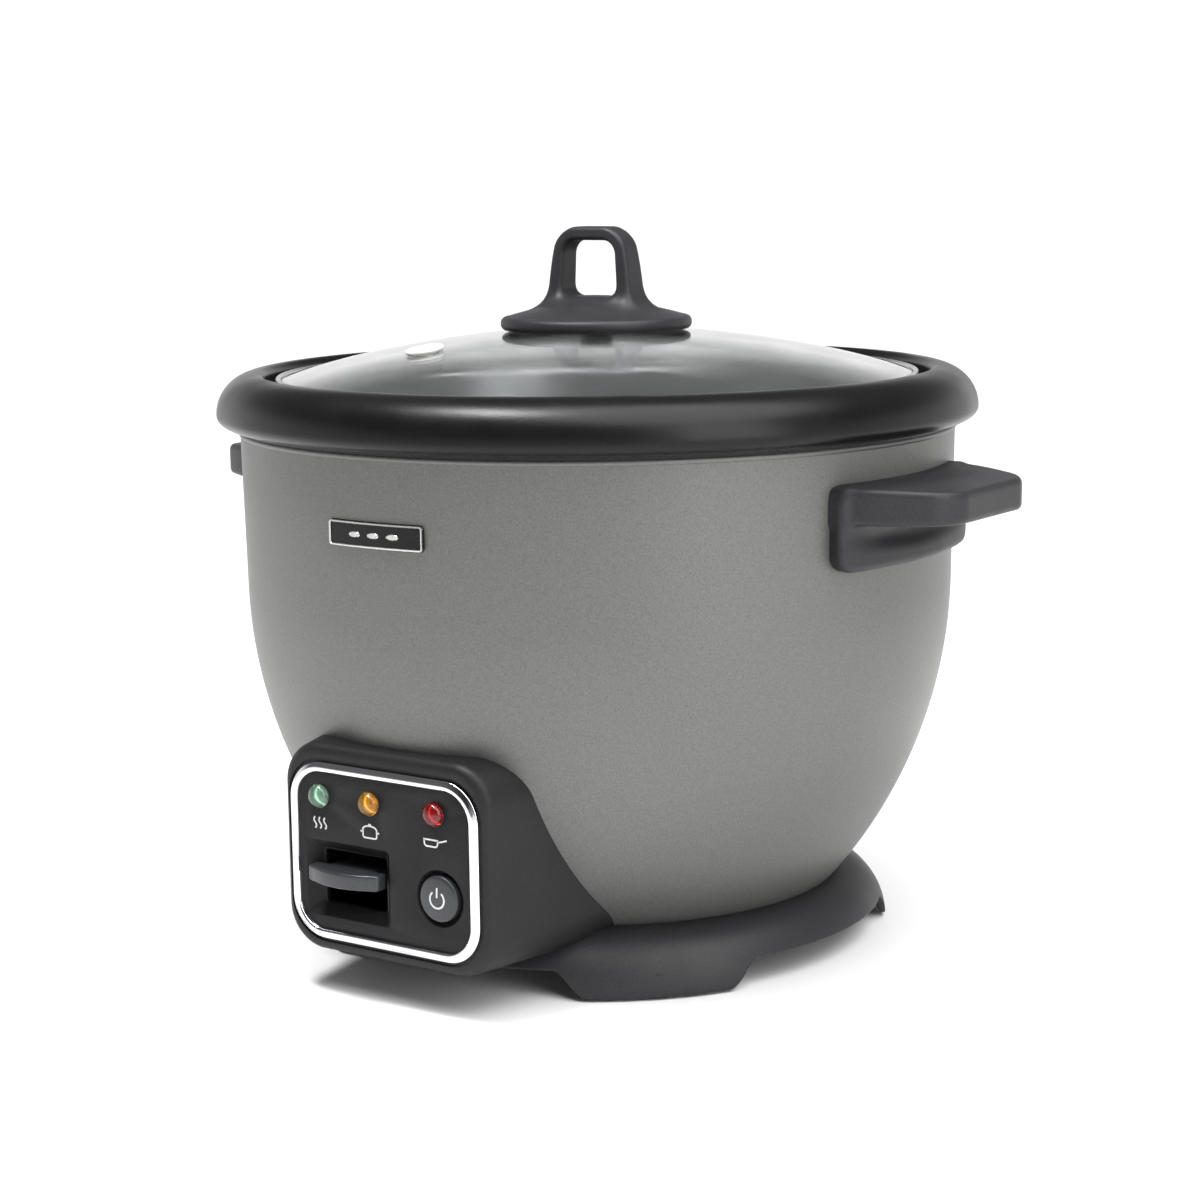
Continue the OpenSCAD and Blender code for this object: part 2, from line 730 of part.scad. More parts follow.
// domed lens whose stem sits in the panel
module lens(x) {
    dome = lens_d / 2;
    translate([x, face_y, lamp_z]) rotate([90, 0, 0]) rotate_extrude($fn = small_fn) union() {
        translate([0, -5]) square([lens_stem_r, 5]);
        intersection() {
            translate([0, 0.6]) circle(dome, $fn = small_fn);
            square([dome, 3.4]);
        }
        square([dome, 0.6]);
    }
}

module lens_green() color([0.35, 0.6, 0.45]) lens(lamp_xs[0]);

module lens_amber() color([0.85, 0.55, 0.1]) lens(lamp_xs[1]);

module lens_red() color([0.6, 0.05, 0.05]) lens(lamp_xs[2]);

module lamp_board() {
    edge = 4;
    color([0.1, 0.35, 0.15]) translate([lamp_xs[0] - edge, board_y, lamp_z - board_down])
        cube([lamp_xs[2] - lamp_xs[0] + 2 * edge, board_t, board_down + board_up]);
}

module lamps() {
    bulb_r = 1.9;
    back = 5.4;
    color([0.9, 0.9, 0.85]) for (x = lamp_xs)
        translate([x, board_y, lamp_z]) rotate([90, 0, 0]) {
            cylinder(r = bulb_r, h = board_y - face_y - back - bulb_r, $fn = small_fn);
            translate([0, 0, board_y - face_y - back - bulb_r]) sphere(bulb_r, $fn = small_fn);
        }
}

// plan of the paddle: a curved front edge and a neck that goes back through the slot
module paddle_plan() {
    bow = 4;
    polygon(concat(
        [[-neck_w / 2, neck_end_y], [-neck_w / 2, face_y + 2], [-paddle_w / 2, face_y + 2]],
        arc(0, face_y - paddle_out + bow, paddle_w / 2, bow, 180, 360, 12),
        [[paddle_w / 2, face_y + 2], [neck_w / 2, face_y + 2], [neck_w / 2, neck_end_y]]));
}

module cook_lever() {
    color([0.22, 0.22, 0.24]) difference() {
        translate([lever_x, 0, paddle_z - paddle_t / 2]) linear_extrude(paddle_t) paddle_plan();
        // pocket for the steel arm
        translate([lever_x - arm_w / 2, neck_end_y - 9, paddle_z - arm_t / 2])
            cube([arm_w, 10, arm_t]);
    }
}

module lever_arm() {
    t = arm_t / 2;
    tip_y = neck_end_y - 9;
    rear_y = -pivot_y + 12;
    rear_z = arm_top_z - t;
    path = [[tip_y, paddle_z], [knee_y, paddle_z], [knee_end_y, pivot_z + 1],
            [rear_y - 4, rear_z], [rear_y + 4, rear_z]];
    color([0.7, 0.7, 0.72]) difference() {
        union() {
            translate([lever_x - arm_w / 2, 0, 0]) rotate([90, 0, 90]) linear_extrude(arm_w)
                polygon(concat([for (p = path) [p[0], p[1] + t]],
                               [for (i = [len(path) - 1:-1:0]) [path[i][0], path[i][1] - t]]));
            translate([lever_x - arm_w / 2, -pivot_y, pivot_z]) rotate([0, 90, 0])
                cylinder(r = pivot_r + 2, h = arm_w, $fn = small_fn);
            translate([0, 0, arm_top_z - arm_t]) linear_extrude(arm_t)
                polygon([[lever_x - arm_w / 2, rear_y], [lever_x + arm_w / 2, rear_y],
                         [5, -2], [5, 4], [-5, 4], [-5, -2]]);
        }
        translate([lever_x - arm_w, -pivot_y, pivot_z]) rotate([0, 90, 0])
            cylinder(r = pivot_r + run_clear, h = 2 * arm_w, $fn = small_fn);
    }
}

module lever_pin() {
    color("silver") translate([ear_xs[0] - 2, -pivot_y, pivot_z]) rotate([0, 90, 0])
        cylinder(r = pivot_r, h = ear_xs[1] - ear_xs[0] + ear_t + 4, $fn = small_fn);
}

module lever_bracket() {
    z = base_h + shell_t;
    color([0.75, 0.75, 0.76]) difference() {
        union() {
            translate([ear_xs[0], -pivot_y - 9, z]) cube([ear_xs[1] - ear_xs[0] + ear_t, 16, 1.2]);
            for (x = ear_xs) translate([x, -pivot_y - 5, z]) cube([ear_t, 10, pivot_z - z]);
            for (x = ear_xs) translate([x, -pivot_y, pivot_z]) rotate([0, 90, 0])
                cylinder(r = 5, h = ear_t, $fn = small_fn);
        }
        for (x = ear_xs) translate([x - cut, -pivot_y, pivot_z]) rotate([0, 90, 0])
            cylinder(r = pivot_r, h = ear_t + 2 * cut, $fn = small_fn);
    }
}

module lever_spring() {
    // torsion spring around the pivot pin, between the arm and the left ear
    width = arm_w / 2 - ear_xs[0] + lever_x - arm_w - ear_t - 0.6;
    color("silver") translate([ear_xs[0] + ear_t + 0.3, -pivot_y, pivot_z]) rotate([0, 90, 0])
        coil(pivot_r + 1.2, 0.5, width, 4);
}

module contact_switch() {
    w = 12;
    y = -pivot_y - 22;
    z = base_h + shell_t;
    arm_z = paddle_z + (pivot_z + 1 - paddle_z) * (y + 6 - knee_y) / (knee_end_y - knee_y);
    plunger_z = arm_z - arm_t / 2 - plunger_gap;
    color([0.2, 0.2, 0.22]) {
        translate([lever_x - w / 2, y, z]) cube([w, 11, 9]);
        translate([lever_x, y + 6, z + 9]) cylinder(r = 1.4, h = plunger_z - z - 9, $fn = small_fn);
    }
}

module power_button() {
    dome = 40;
    r = button_d / 2;
    front = 1.8;
    color([0.12, 0.12, 0.14]) translate([button_x, face_y, button_z]) rotate([90, 0, 0])
        rotate_extrude($fn = small_fn * 2) union() {
            translate([0, -4]) square([r, front + 3]);
            intersection() {
                translate([0, front - dome]) circle(dome, $fn = 360);
                translate([0, -4]) square([r, front + 5]);
            }
            translate([0, -stem_end]) square([stem_r, stem_end - 3]);
        }
}

module power_spring() {
    start = face_y + 4.2;
    color("silver") translate([button_x, start, button_z]) rotate([-90, 0, 0])
        coil(stem_r + 1.6, 0.4, switch_y - start, 5);
}

module power_switch() {
    color([0.85, 0.85, 0.8]) difference() {
        translate([button_x - switch_w / 2, switch_y, button_z - switch_w / 2])
            cube([switch_w, 14, switch_w]);
        translate([button_x, switch_y - cut, button_z]) rotate([-90, 0, 0])
            cylinder(r = stem_r + 0.2, h = 7, $fn = small_fn);
    }
    // arms that clip the switch to the panel's collar
    color([0.85, 0.85, 0.8]) for (s = [-1, 1])
        translate([button_x - 3, face_y + panel_t, button_z + s * (button_hole_r + 2.9) - 1])
            cube([6, switch_y - face_y - panel_t + 8, 2]);
}

function liner_profile(r, floor_z, corner) = concat(
    [[liner_hole_r, floor_z]],
    arc(r - corner, floor_z + corner, corner, corner, -90, 0, corner_steps),
    [[r, shell_top_z]]);

module inner_liner() {
    outer = liner_profile(liner_r + liner_t, liner_floor_z, liner_corner_r);
    inner = liner_profile(liner_r, liner_floor_z + liner_t, liner_corner_r - liner_t);
    last = len(inner) - 1;
    color([0.72, 0.72, 0.74]) difference() {
        rotate_extrude($fn = big_fn) polygon(concat(
            outer,
            [[body_r, shell_top_z], [body_r, seat_z], [liner_r, seat_z]],
            [for (i = [last - 1:-1:0]) inner[i]]));
        at_angles(spacer_angles, spacer_circle_r) translate([0, 0, liner_floor_z - cut])
            cylinder(r = m4_hole_r, h = 4, $fn = small_fn);
        at_angles(plate_leg_angles, plate_leg_r) translate([0, 0, liner_floor_z - cut])
            cylinder(r = m4_hole_r, h = 4, $fn = small_fn);
        at_angles(terminal_angles, element_r) translate([0, 0, liner_floor_z - cut])
            cylinder(r = bush_r + 0.1, h = 4, $fn = small_fn);
        at_angles(plate_leg_angles, rivet_circle_r) translate([0, 0, liner_floor_z - cut])
            cylinder(r = rivet_r, h = 4, $fn = small_fn);
    }
}

module warm_heater() {
    band_h = 25;
    color([0.7, 0.6, 0.45]) translate([0, 0, bowl_z - 15]) difference() {
        cylinder(r = liner_r + liner_t + 1.2, h = band_h, $fn = big_fn);
        translate([0, 0, -cut]) cylinder(r = liner_r + liner_t, h = band_h + 2 * cut, $fn = big_fn);
    }
}

module liner_spacers() {
    z = base_h + shell_t;
    color([0.8, 0.75, 0.5]) at_angles(spacer_angles, spacer_circle_r) difference() {
        translate([0, 0, z]) cylinder(r = spacer_r, h = liner_floor_z - z, $fn = small_fn);
        translate([0, 0, z - cut]) cylinder(r = m4_tap_r, h = liner_floor_z, $fn = small_fn);
    }
}

module spacer_screws() {
    color("silver") at_angles(spacer_angles, spacer_circle_r)
        translate([0, 0, liner_floor_z + liner_t + 1.8]) screw(m4_r, 5, 3.6, 1.8);
}

module heating_plate() {
    under = plate_z - plate_t;
    color([0.75, 0.75, 0.76]) difference() {
        union() {
            translate([0, 0, under + 2]) cylinder(r = plate_r, h = plate_t - 2, $fn = big_fn);
            translate([0, 0, under]) cylinder(r1 = plate_r - 2, r2 = plate_r, h = 2, $fn = big_fn);
            translate([0, 0, under - element_h]) difference() {
                cylinder(r = element_r + element_w / 2, h = element_h + 1, $fn = big_fn);
                translate([0, 0, -cut])
                    cylinder(r = element_r - element_w / 2, h = element_h + 3, $fn = big_fn);
            }
            at_angles(plate_leg_angles, plate_leg_r)
                translate([0, 0, liner_floor_z + liner_t])
                    cylinder(r = leg_r, h = under - liner_floor_z, $fn = small_fn);
        }
        translate([0, 0, under - 10]) cylinder(r = plate_hole_r, h = 30, $fn = big_fn);
        at_angles(plate_leg_angles, plate_leg_r)
            translate([0, 0, liner_floor_z]) cylinder(r = m4_tap_r, h = 9, $fn = small_fn);
    }
}

module plate_screws() {
    color("silver") at_angles(plate_leg_angles, plate_leg_r)
        translate([0, 0, liner_floor_z - 2]) mirror([0, 0, 1]) screw(m4_r, 7, 3.6, 2);
}

module element_terminals() {
    top = plate_z - plate_t - element_h;
    color([0.75, 0.7, 0.5]) at_angles(terminal_angles, element_r)
        translate([0, 0, liner_floor_z - terminal_drop])
            cylinder(r = terminal_r, h = top - liner_floor_z + terminal_drop, $fn = small_fn);
}

module terminal_bushes() {
    top = plate_z - plate_t - element_h;
    color([0.95, 0.95, 0.92]) at_angles(terminal_angles, element_r)
        translate([0, 0, liner_floor_z - 2]) difference() {
            cylinder(r = bush_r, h = top - liner_floor_z + 2, $fn = small_fn);
            translate([0, 0, -cut]) cylinder(r = terminal_r, h = 20, $fn = small_fn);
        }
}

module thermostat_cap() {
    color([0.8, 0.8, 0.82]) difference() {
        translate([0, 0, plate_z - cap_skirt_h]) cylinder(r = cap_r, h = cap_skirt_h, $fn = big_fn);
        translate([0, 0, plate_z - cap_skirt_h - cut])
            cylinder(r = cap_r - cap_wall, h = cap_skirt_h + cut - cap_top_t, $fn = big_fn);
    }
}

module ferrite_disc() {
    color([0.2, 0.2, 0.2]) translate([0, 0, plate_z - cap_top_t - ferrite_h])
        cylinder(r = ferrite_r, h = ferrite_h, $fn = small_fn * 2);
}

module thermostat_spring() {
    color("silver") translate([0, 0, liner_floor_z])
        coil(spring_r, 0.7, plate_z - cap_top_t - liner_floor_z, 5);
}

module sensor_bracket() {
    color([0.75, 0.75, 0.77]) difference() {
        union() {
            translate([0, 0, liner_floor_z - bracket_t])
                cylinder(r = bracket_r, h = bracket_t, $fn = big_fn);
            translate([0, 0, cup_floor_z])
                cylinder(r = cup_r + cup_wall, h = liner_floor_z - cup_floor_z, $fn = small_fn * 2);
        }
        translate([0, 0, cup_floor_z + cup_wall]) cylinder(r = cup_r, h = 20, $fn = small_fn * 2);
        translate([0, 0, cup_floor_z - cut]) cylinder(r = rod_r + run_clear, h = 5, $fn = small_fn);
        at_angles(plate_leg_angles, rivet_circle_r) translate([0, 0, liner_floor_z - 4])
            cylinder(r = rivet_r, h = 8, $fn = small_fn);
    }
}

module bracket_rivets() {
    head_r = 2.8;
    head_t = 0.9;
    color("silver") at_angles(plate_leg_angles, rivet_circle_r) translate([0, 0, liner_floor_z]) {
        translate([0, 0, -bracket_t]) cylinder(r = rivet_r, h = bracket_t + liner_t, $fn = small_fn);
        translate([0, 0, liner_t]) cylinder(r = head_r, h = head_t, $fn = small_fn);
        translate([0, 0, -bracket_t - head_t]) cylinder(r = head_r, h = head_t, $fn = small_fn);
    }
}

module magnet() {
    foot_z = arm_top_z + rod_gap + rod_r;
    color([0.3, 0.3, 0.32]) {
        translate([0, 0, magnet_z]) cylinder(r = magnet_r, h = magnet_t, $fn = small_fn * 2);
        translate([0, 0, foot_z]) cylinder(r = rod_r, h = magnet_z - foot_z + 1, $fn = small_fn);
        translate([0, 0, foot_z]) sphere(rod_r, $fn = small_fn);
    }
}

module thermal_fuse() {
    color([0.9, 0.9, 0.88]) translate([fuse_x, -12, liner_floor_z - fuse_r]) rotate([-90, 0, 0])
        cylinder(r = fuse_r, h = 24, $fn = small_fn);
}

module fuse_clip() {
    color([0.7, 0.7, 0.72]) difference() {
        translate([fuse_x - fuse_r - 1, -3, liner_floor_z - 2 * fuse_r - 1])
            cube([2 * fuse_r + 2, 6, 2 * fuse_r + 1]);
        translate([fuse_x, -4, liner_floor_z - fuse_r]) rotate([-90, 0, 0])
            cylinder(r = fuse_r, h = 8, $fn = small_fn);
        translate([fuse_x - fuse_r, -4, liner_floor_z - fuse_r]) cube([2 * fuse_r, 8, fuse_r + cut]);
    }
}

module inlet_housing() {
    color([0.14, 0.14, 0.15]) difference() {
        union() {
            difference() {
                across(0, inlet_face_y, inlet_z) rounded(inlet_w, inlet_h, 5);
                shell_envelope(skin_gap);
            }
            across(inlet_in_y, inlet_face_y, inlet_z) square([plug_w, plug_h], center = true);
        }
        across(inlet_face_y - socket_d, inlet_face_y + cut, inlet_z) rounded(socket_w, socket_h, 3);
        for (p = pin_spots) translate([p[0], 0, inlet_z + p[1]]) rotate([-90, 0, 0])
            cylinder(r = pin_r, h = inlet_face_y, $fn = small_fn);
    }
}

module inlet_pins() {
    back = inlet_in_y - 6;
    tip = inlet_face_y - 6;
    color([0.8, 0.7, 0.35]) for (p = pin_spots) translate([p[0], back, inlet_z + p[1]])
        rotate([-90, 0, 0]) cylinder(r = pin_r, h = tip - back, $fn = small_fn);
}

module terminal_block() {
    color([0.93, 0.92, 0.88]) difference() {
        translate([-18, block_y - block_t / 2, base_h + shell_t]) cube([36, block_t, 12]);
        for (x = [-11, 0, 11]) translate([x, block_y, base_h + shell_t + 4])
            cylinder(r = 2, h = 20, $fn = small_fn);
    }
}

module wires() {
    wire_r = 1.1;
    top = base_h + shell_t + 12;
    tab_y = inlet_in_y - 6 - wire_r;
    pin_z = inlet_z - 3;
    tip_z = liner_floor_z - terminal_drop;
    loop_z = base_h + shell_t + 5;
    tx = element_r * cos(terminal_angles[0]);
    ty = element_r * sin(terminal_angles[0]);
    color([0.75, 0.7, 0.62]) for (s = [-1, 1]) {
        // mains pin to the terminal block
        wire([[s * 7, tab_y + wire_r, pin_z], [s * 7, tab_y - 2, pin_z],
              [s * 9, block_y + 8, top + 4], [s * 14.5, block_y + 2.5, top + 3],
              [s * 14.5, block_y + 2, top + 1.4], [s * 14.5, block_y + 2, top]], wire_r);
        // terminal block to the heating element
        wire([[s * 14.5, block_y - 3, top], [s * 14.5, block_y - 3, top + 1.4],
              [s * 14, block_y - 6, top + 3], [s * 13, block_y - 12, top], [s * tx, ty + 3, tip_z - 2.5],
              [s * tx, ty, tip_z - 1.6], [s * tx, ty, tip_z]], wire_r);
    }
    // terminal block round to the contact switch at the front
    color([0.75, 0.7, 0.62]) wire([for (p = [
        [18, block_y], [20, block_y], [26, block_y - 3], [44, 52], [61, 22], [63, 0], [60, -26],
        [44, -56], [18, -78], [0, -84], [lever_x + 6, -84]]) [p[0], p[1], loop_z]], wire_r);
}

module pot_wall(r, top_z, floor_z, corner) {
    polygon(concat(
        [[0, floor_z]],
        arc(r - pot_draft - corner, floor_z + corner, corner, corner, -90, 0, corner_steps),
        [[r, top_z], [0, top_z]]));
}

module inner_pot() {
    color([0.8, 0.8, 0.82]) rotate_extrude($fn = big_fn) difference() {
        union() {
            pot_wall(pot_r, lid_z, plate_z, pot_corner_r);
            translate([pot_r - 3, pot_top_z]) square([pot_flange_w + 3, pot_flange_t]);
        }
        translate([0, cut]) pot_wall(pot_r - pot_t, lid_z, plate_z + pot_t - cut, pot_corner_r - pot_t);
    }
}

module lid_glass() {
    color([0.8, 0.85, 0.88, 0.5]) difference() {
        rotate_extrude($fn = big_fn) intersection() {
            difference() {
                translate([0, dome_c]) circle(dome_r + glass_t, $fn = 720);
                translate([0, dome_c]) circle(dome_r, $fn = 720);
            }
            translate([0, glass_z]) square([glass_r, dome_h + glass_t + 5]);
        }
        translate([0, 0, apex_z - 20]) cylinder(r = knob_hole_r, h = 40, $fn = small_fn);
        vent_place() translate([0, 0, -10]) cylinder(r = vent_hole_r, h = 20, $fn = small_fn);
    }
}

// the vent's seat on the dome, square to the glass
module vent_place() {
    tilt = asin(vent_r / (dome_r + glass_t));
    rotate(-90 - vent_angle) translate([0, 0, dome_c]) rotate([0, tilt, 0])
        translate([0, 0, dome_r + glass_t]) children();
}

module steam_vent() {
    color([0.92, 0.92, 0.9]) vent_place() rotate_extrude($fn = small_fn) difference() {
        union() {
            translate([0, 0.3]) square([7, 1.6]);
            translate([0, -glass_t - 1.5]) square([vent_hole_r, glass_t + 2]);
            translate([0, -glass_t - 2.6]) square([6.4, 1.8]);
        }
        translate([0, -10]) square([1.6, 20]);
    }
}

// folded steel band that holds the glass and rests on the pot's flange
module lid_rim() {
    wall = 2;
    color([0.78, 0.78, 0.8]) rotate_extrude($fn = big_fn) polygon([
        [glass_r, lid_z + rim_h + 0.6], [glass_r, glass_z], [glass_r - 6, glass_z],
        [glass_r - 6, lid_z], [glass_r + wall - 0.6, lid_z], [glass_r + wall, lid_z + 0.6],
        [glass_r + wall, lid_z + rim_h], [glass_r + wall - 0.8, lid_z + rim_h + 0.6]]);
}

// outline of the knob's arch in X and Z, shrunk inwards by t
module arch_outline(t) {
    low = arch_foot_w / 2 - t;
    high = arch_top_w / 2 - t;
    top = arch_top_h - t;
    r = 8 - t / 2;
    polygon(concat(
        [[low, 0]],
        arc(high - r + (low - high) * 0.25, top - r * 1.4, r, r * 1.4, 0, 90, 6),
        arc(-high + r - (low - high) * 0.25, top - r * 1.4, r, r * 1.4, 90, 180, 6),
        [[-low, 0]]));
}

// disc under the arch: a round edge and a crowned top
module knob_disc() {
    edge = 2.4;
    translate([0, 0, knob_z]) rotate_extrude($fn = big_fn) polygon(concat(
        [[0, 0]],
        arc(knob_r - edge, knob_disc_t / 2, edge, knob_disc_t / 2, -90, 90, 6),
        [for (i = [5:-1:0]) let (s = i / 6) 
            [s * (knob_r - edge), knob_disc_t + knob_crown * (1 - s * s)]]));
}

module lid_knob() {
    color([0.1, 0.1, 0.11]) difference() {
        union() {
            difference() {
                union() {
                    knob_disc();
                    across(-arch_depth / 2, arch_depth / 2, knob_z + knob_disc_t) arch_outline(0);
                }
                translate([0, 0, dome_c]) sphere(knob_under_r, $fn = 360);
            }
            translate([0, 0, apex_z - glass_t - 1])
                cylinder(r = knob_hole_r - gap, h = 10, $fn = small_fn);
        }
        across(-arch_depth, arch_depth, knob_z + knob_disc_t) difference() {
            arch_outline(arch_t);
            translate([-knob_r, -cut]) square([2 * knob_r, knob_floor_z - knob_z - knob_disc_t + cut]);
        }
        translate([0, 0, apex_z - glass_t - 4]) cylinder(r = 1.6, h = 14, $fn = small_fn);
    }
}

module knob_washer() {
    washer_r = 16;
    color([0.9, 0.9, 0.9]) intersection() {
        difference() {
            translate([0, 0, apex_z - 2]) cylinder(r = washer_r, h = 4, $fn = big_fn);
            translate([0, 0, apex_z - 3]) cylinder(r = knob_hole_r, h = 6, $fn = small_fn);
            translate([0, 0, dome_c]) sphere(dome_r + glass_t, $fn = 360);
        }
        translate([0, 0, dome_c]) sphere(knob_under_r, $fn = 360);
    }
}

module knob_screw() {
    under = apex_z - glass_t;
    head_t = 3;
    color("silver") {
        translate([0, 0, under - 1.2 - head_t]) cylinder(r = 6, h = head_t, $fn = small_fn);
        translate([0, 0, under - 2]) cylinder(r = 1.5, h = 11, $fn = small_fn);
    }
}

outer_shell();
top_ring();
handle_right();
handle_left();
handle_screws();
badge_plate();
base();
foot_pads();
bottom_cover();
cover_screws();
base_screws();
control_housing();
housing_screws();
control_panel();
panel_trim();
lens_green();
lens_amber();
lens_red();
lamp_board();
lamps();
cook_lever();
lever_arm();
lever_pin();
lever_bracket();
lever_spring();
contact_switch();
power_button();
power_spring();
power_switch();
inner_liner();
warm_heater();
liner_spacers();
spacer_screws();
heating_plate();
plate_screws();
element_terminals();
terminal_bushes();
thermostat_cap();
ferrite_disc();
thermostat_spring();
sensor_bracket();
bracket_rivets();
magnet();
thermal_fuse();
fuse_clip();
inlet_housing();
inlet_pins();
terminal_block();
wires();
inner_pot();
lid_glass();
lid_rim();
steam_vent();
lid_knob();
knob_washer();
knob_screw();
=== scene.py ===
# Looks for the rice cooker: smooth shells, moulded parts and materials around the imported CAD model.
# Everything is in metres in the CAD's own frame: +Z up, -Y out of the control panel.
import json
import math

import bmesh
import bpy
import numpy as np
from mathutils import Matrix, Vector


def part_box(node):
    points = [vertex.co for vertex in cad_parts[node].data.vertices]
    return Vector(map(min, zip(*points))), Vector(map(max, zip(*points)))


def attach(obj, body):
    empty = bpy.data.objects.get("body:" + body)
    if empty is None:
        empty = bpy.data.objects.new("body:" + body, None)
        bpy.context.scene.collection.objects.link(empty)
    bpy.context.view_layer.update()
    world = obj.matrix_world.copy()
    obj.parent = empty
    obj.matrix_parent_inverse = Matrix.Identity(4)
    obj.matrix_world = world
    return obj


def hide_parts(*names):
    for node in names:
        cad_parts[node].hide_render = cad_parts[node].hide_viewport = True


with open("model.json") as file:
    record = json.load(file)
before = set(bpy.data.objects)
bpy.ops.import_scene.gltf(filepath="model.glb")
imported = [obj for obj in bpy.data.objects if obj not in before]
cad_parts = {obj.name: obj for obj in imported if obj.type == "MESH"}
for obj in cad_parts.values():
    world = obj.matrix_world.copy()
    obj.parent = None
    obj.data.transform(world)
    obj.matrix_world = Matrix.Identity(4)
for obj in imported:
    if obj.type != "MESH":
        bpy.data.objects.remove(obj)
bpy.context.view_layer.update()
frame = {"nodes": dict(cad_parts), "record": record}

MM = 0.001

# ---- sizes from the frame
shell_lo, shell_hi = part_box("outer_shell")
ring_lo, ring_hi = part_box("top_ring")
base_lo, base_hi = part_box("base")
housing_lo, housing_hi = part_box("control_housing")
panel_lo, panel_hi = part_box("control_panel")
trim_lo, trim_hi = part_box("panel_trim")
pot_lo, pot_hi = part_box("inner_pot")
glass_lo, glass_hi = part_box("lid_glass")
rim_lo, rim_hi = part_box("lid_rim")
knob_lo, knob_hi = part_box("lid_knob")
handle_lo, handle_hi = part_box("handle_right")
badge_lo, badge_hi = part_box("badge_plate")
paddle_lo, paddle_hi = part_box("cook_lever")
button_lo, button_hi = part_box("power_button")
inlet_lo, inlet_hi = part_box("inlet_housing")

# the shell: a straight wall over a bowl curve
BEAD_OUT = 0.6 * MM
BODY_R = shell_hi.x - BEAD_OUT
WALL_DRAFT = 1.0 * MM
BOWL_Z = 135 * MM
BOWL_R = 173.8 * MM
SHELL_T = 1.0 * MM
BASE_H = shell_lo.z
SHELL_TOP = shell_hi.z
BOWL_C = BODY_R - WALL_DRAFT - BOWL_R
FACE_Y = panel_lo.y
TRIM_Z = (trim_lo.z + trim_hi.z) / 2


def shell_r(z):
    """Outer radius of the shell at height z."""
    if z < BOWL_Z:
        return BOWL_C + math.sqrt(BOWL_R ** 2 - (BOWL_Z - z) ** 2)
    return BODY_R - WALL_DRAFT * (SHELL_TOP - z) / (SHELL_TOP - BOWL_Z)


WAIST_R = shell_r(BASE_H)


def on_face(x, z, turn=math.pi / 2):
    """Place on the panel's face at (x, z), with the piece's own Z turned to face out of it."""
    return Matrix.Translation((x, FACE_Y, z)) @ Matrix.Rotation(turn, 4, "X")


# control housing, its panel and what sits in it
TRIM_W, TRIM_H = trim_hi.x - trim_lo.x, trim_hi.z - trim_lo.z
PANEL_W, PANEL_H = panel_hi.x - panel_lo.x, panel_hi.z - panel_lo.z
PANEL_T = 2.4 * MM
housing_face_w, housing_face_h = 88 * MM, 73.3 * MM
housing_mid_z = housing_lo.z + housing_face_h / 2
housing_depth = 70 * MM
LEVER_X = (paddle_lo.x + paddle_hi.x) / 2
PADDLE_Z = (paddle_lo.z + paddle_hi.z) / 2
RECESS_W, RECESS_H, RECESS_DEPTH = 34.6 * MM, 24.5 * MM, 4.5 * MM
RECESS_Z = PADDLE_Z + 10.1 * MM - RECESS_H / 2
SLOT_H = 18.9 * MM
SLOT_Z = RECESS_Z - 0.2 * MM
BUTTON_R = (button_hi.x - button_lo.x) / 2
BUTTON_X = (button_lo.x + button_hi.x) / 2
BUTTON_Z = (button_lo.z + button_hi.z) / 2
LENS_NODES = ["lens_green", "lens_amber", "lens_red"]
LAMP_XS = [(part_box(n)[0].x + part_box(n)[1].x) / 2 for n in LENS_NODES]
LAMP_Z = (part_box("lens_red")[0].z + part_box("lens_red")[1].z) / 2
SYMBOL_Z = LAMP_Z - 9.6 * MM
board_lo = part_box("lamp_board")[0]

# the pot's wall leans outwards above its rounded corner
POT_FOOT_R, POT_TOP_R = 109 * MM, 111 * MM
POT_WALL, POT_CORNER = 2.0 * MM, 38 * MM
POT_SLOPE = (POT_TOP_R - POT_FOOT_R) / (105 * MM)

# the lid's dome: two spheres about one centre
GLASS_T = 3.6 * MM
glass_rise = glass_hi.z - glass_lo.z - GLASS_T
dome_in = (glass_hi.x ** 2 + glass_rise ** 2) / (2 * glass_rise)
dome_out = dome_in + GLASS_T
dome_c = glass_lo.z + glass_rise - dome_in
knob_under = dome_c + dome_out + 0.8 * MM
VENT_R, VENT_TURN = 70.5 * MM, math.radians(-115.5)
vent_spot = (Matrix.Rotation(VENT_TURN, 4, "Z") @ Matrix.Translation((0, 0, dome_c))
             @ Matrix.Rotation(math.asin(VENT_R / dome_out), 4, "Y")
             @ Matrix.Translation((0, 0, dome_out)))


# ---- mesh helpers
def mesh_object(name, verts, faces, smooth_angle=40):
    mesh = bpy.data.meshes.new(name)
    mesh.from_pydata([tuple(v) for v in verts], [], [tuple(f) for f in faces])
    mesh.validate()
    obj = bpy.data.objects.new(name, mesh)
    bpy.context.scene.collection.objects.link(obj)
    outward(obj)
    shade(obj, smooth_angle)
    return obj


def outward(obj, distance=None):
    """Turns every face outwards, once points closer together than distance are made one."""
    work = bmesh.new()
    work.from_mesh(obj.data)
    if distance:
        bmesh.ops.remove_doubles(work, verts=work.verts, dist=distance)
        bmesh.ops.dissolve_degenerate(work, edges=work.edges, dist=distance)
    bmesh.ops.recalc_face_normals(work, faces=work.faces)
    work.to_mesh(obj.data)
    work.free()


def shade(obj, angle=40):
    obj.data.shade_smooth()
    obj.data.set_sharp_from_angle(angle=math.radians(angle))


def arc(cx, cy, rx, ry, a0, a1, steps):
    """Points along an arc of an ellipse, angles in degrees."""
    angles = [math.radians(a0 + (a1 - a0) * i / steps) for i in range(steps + 1)]
    return [(cx + rx * math.cos(a), cy + ry * math.sin(a)) for a in angles]


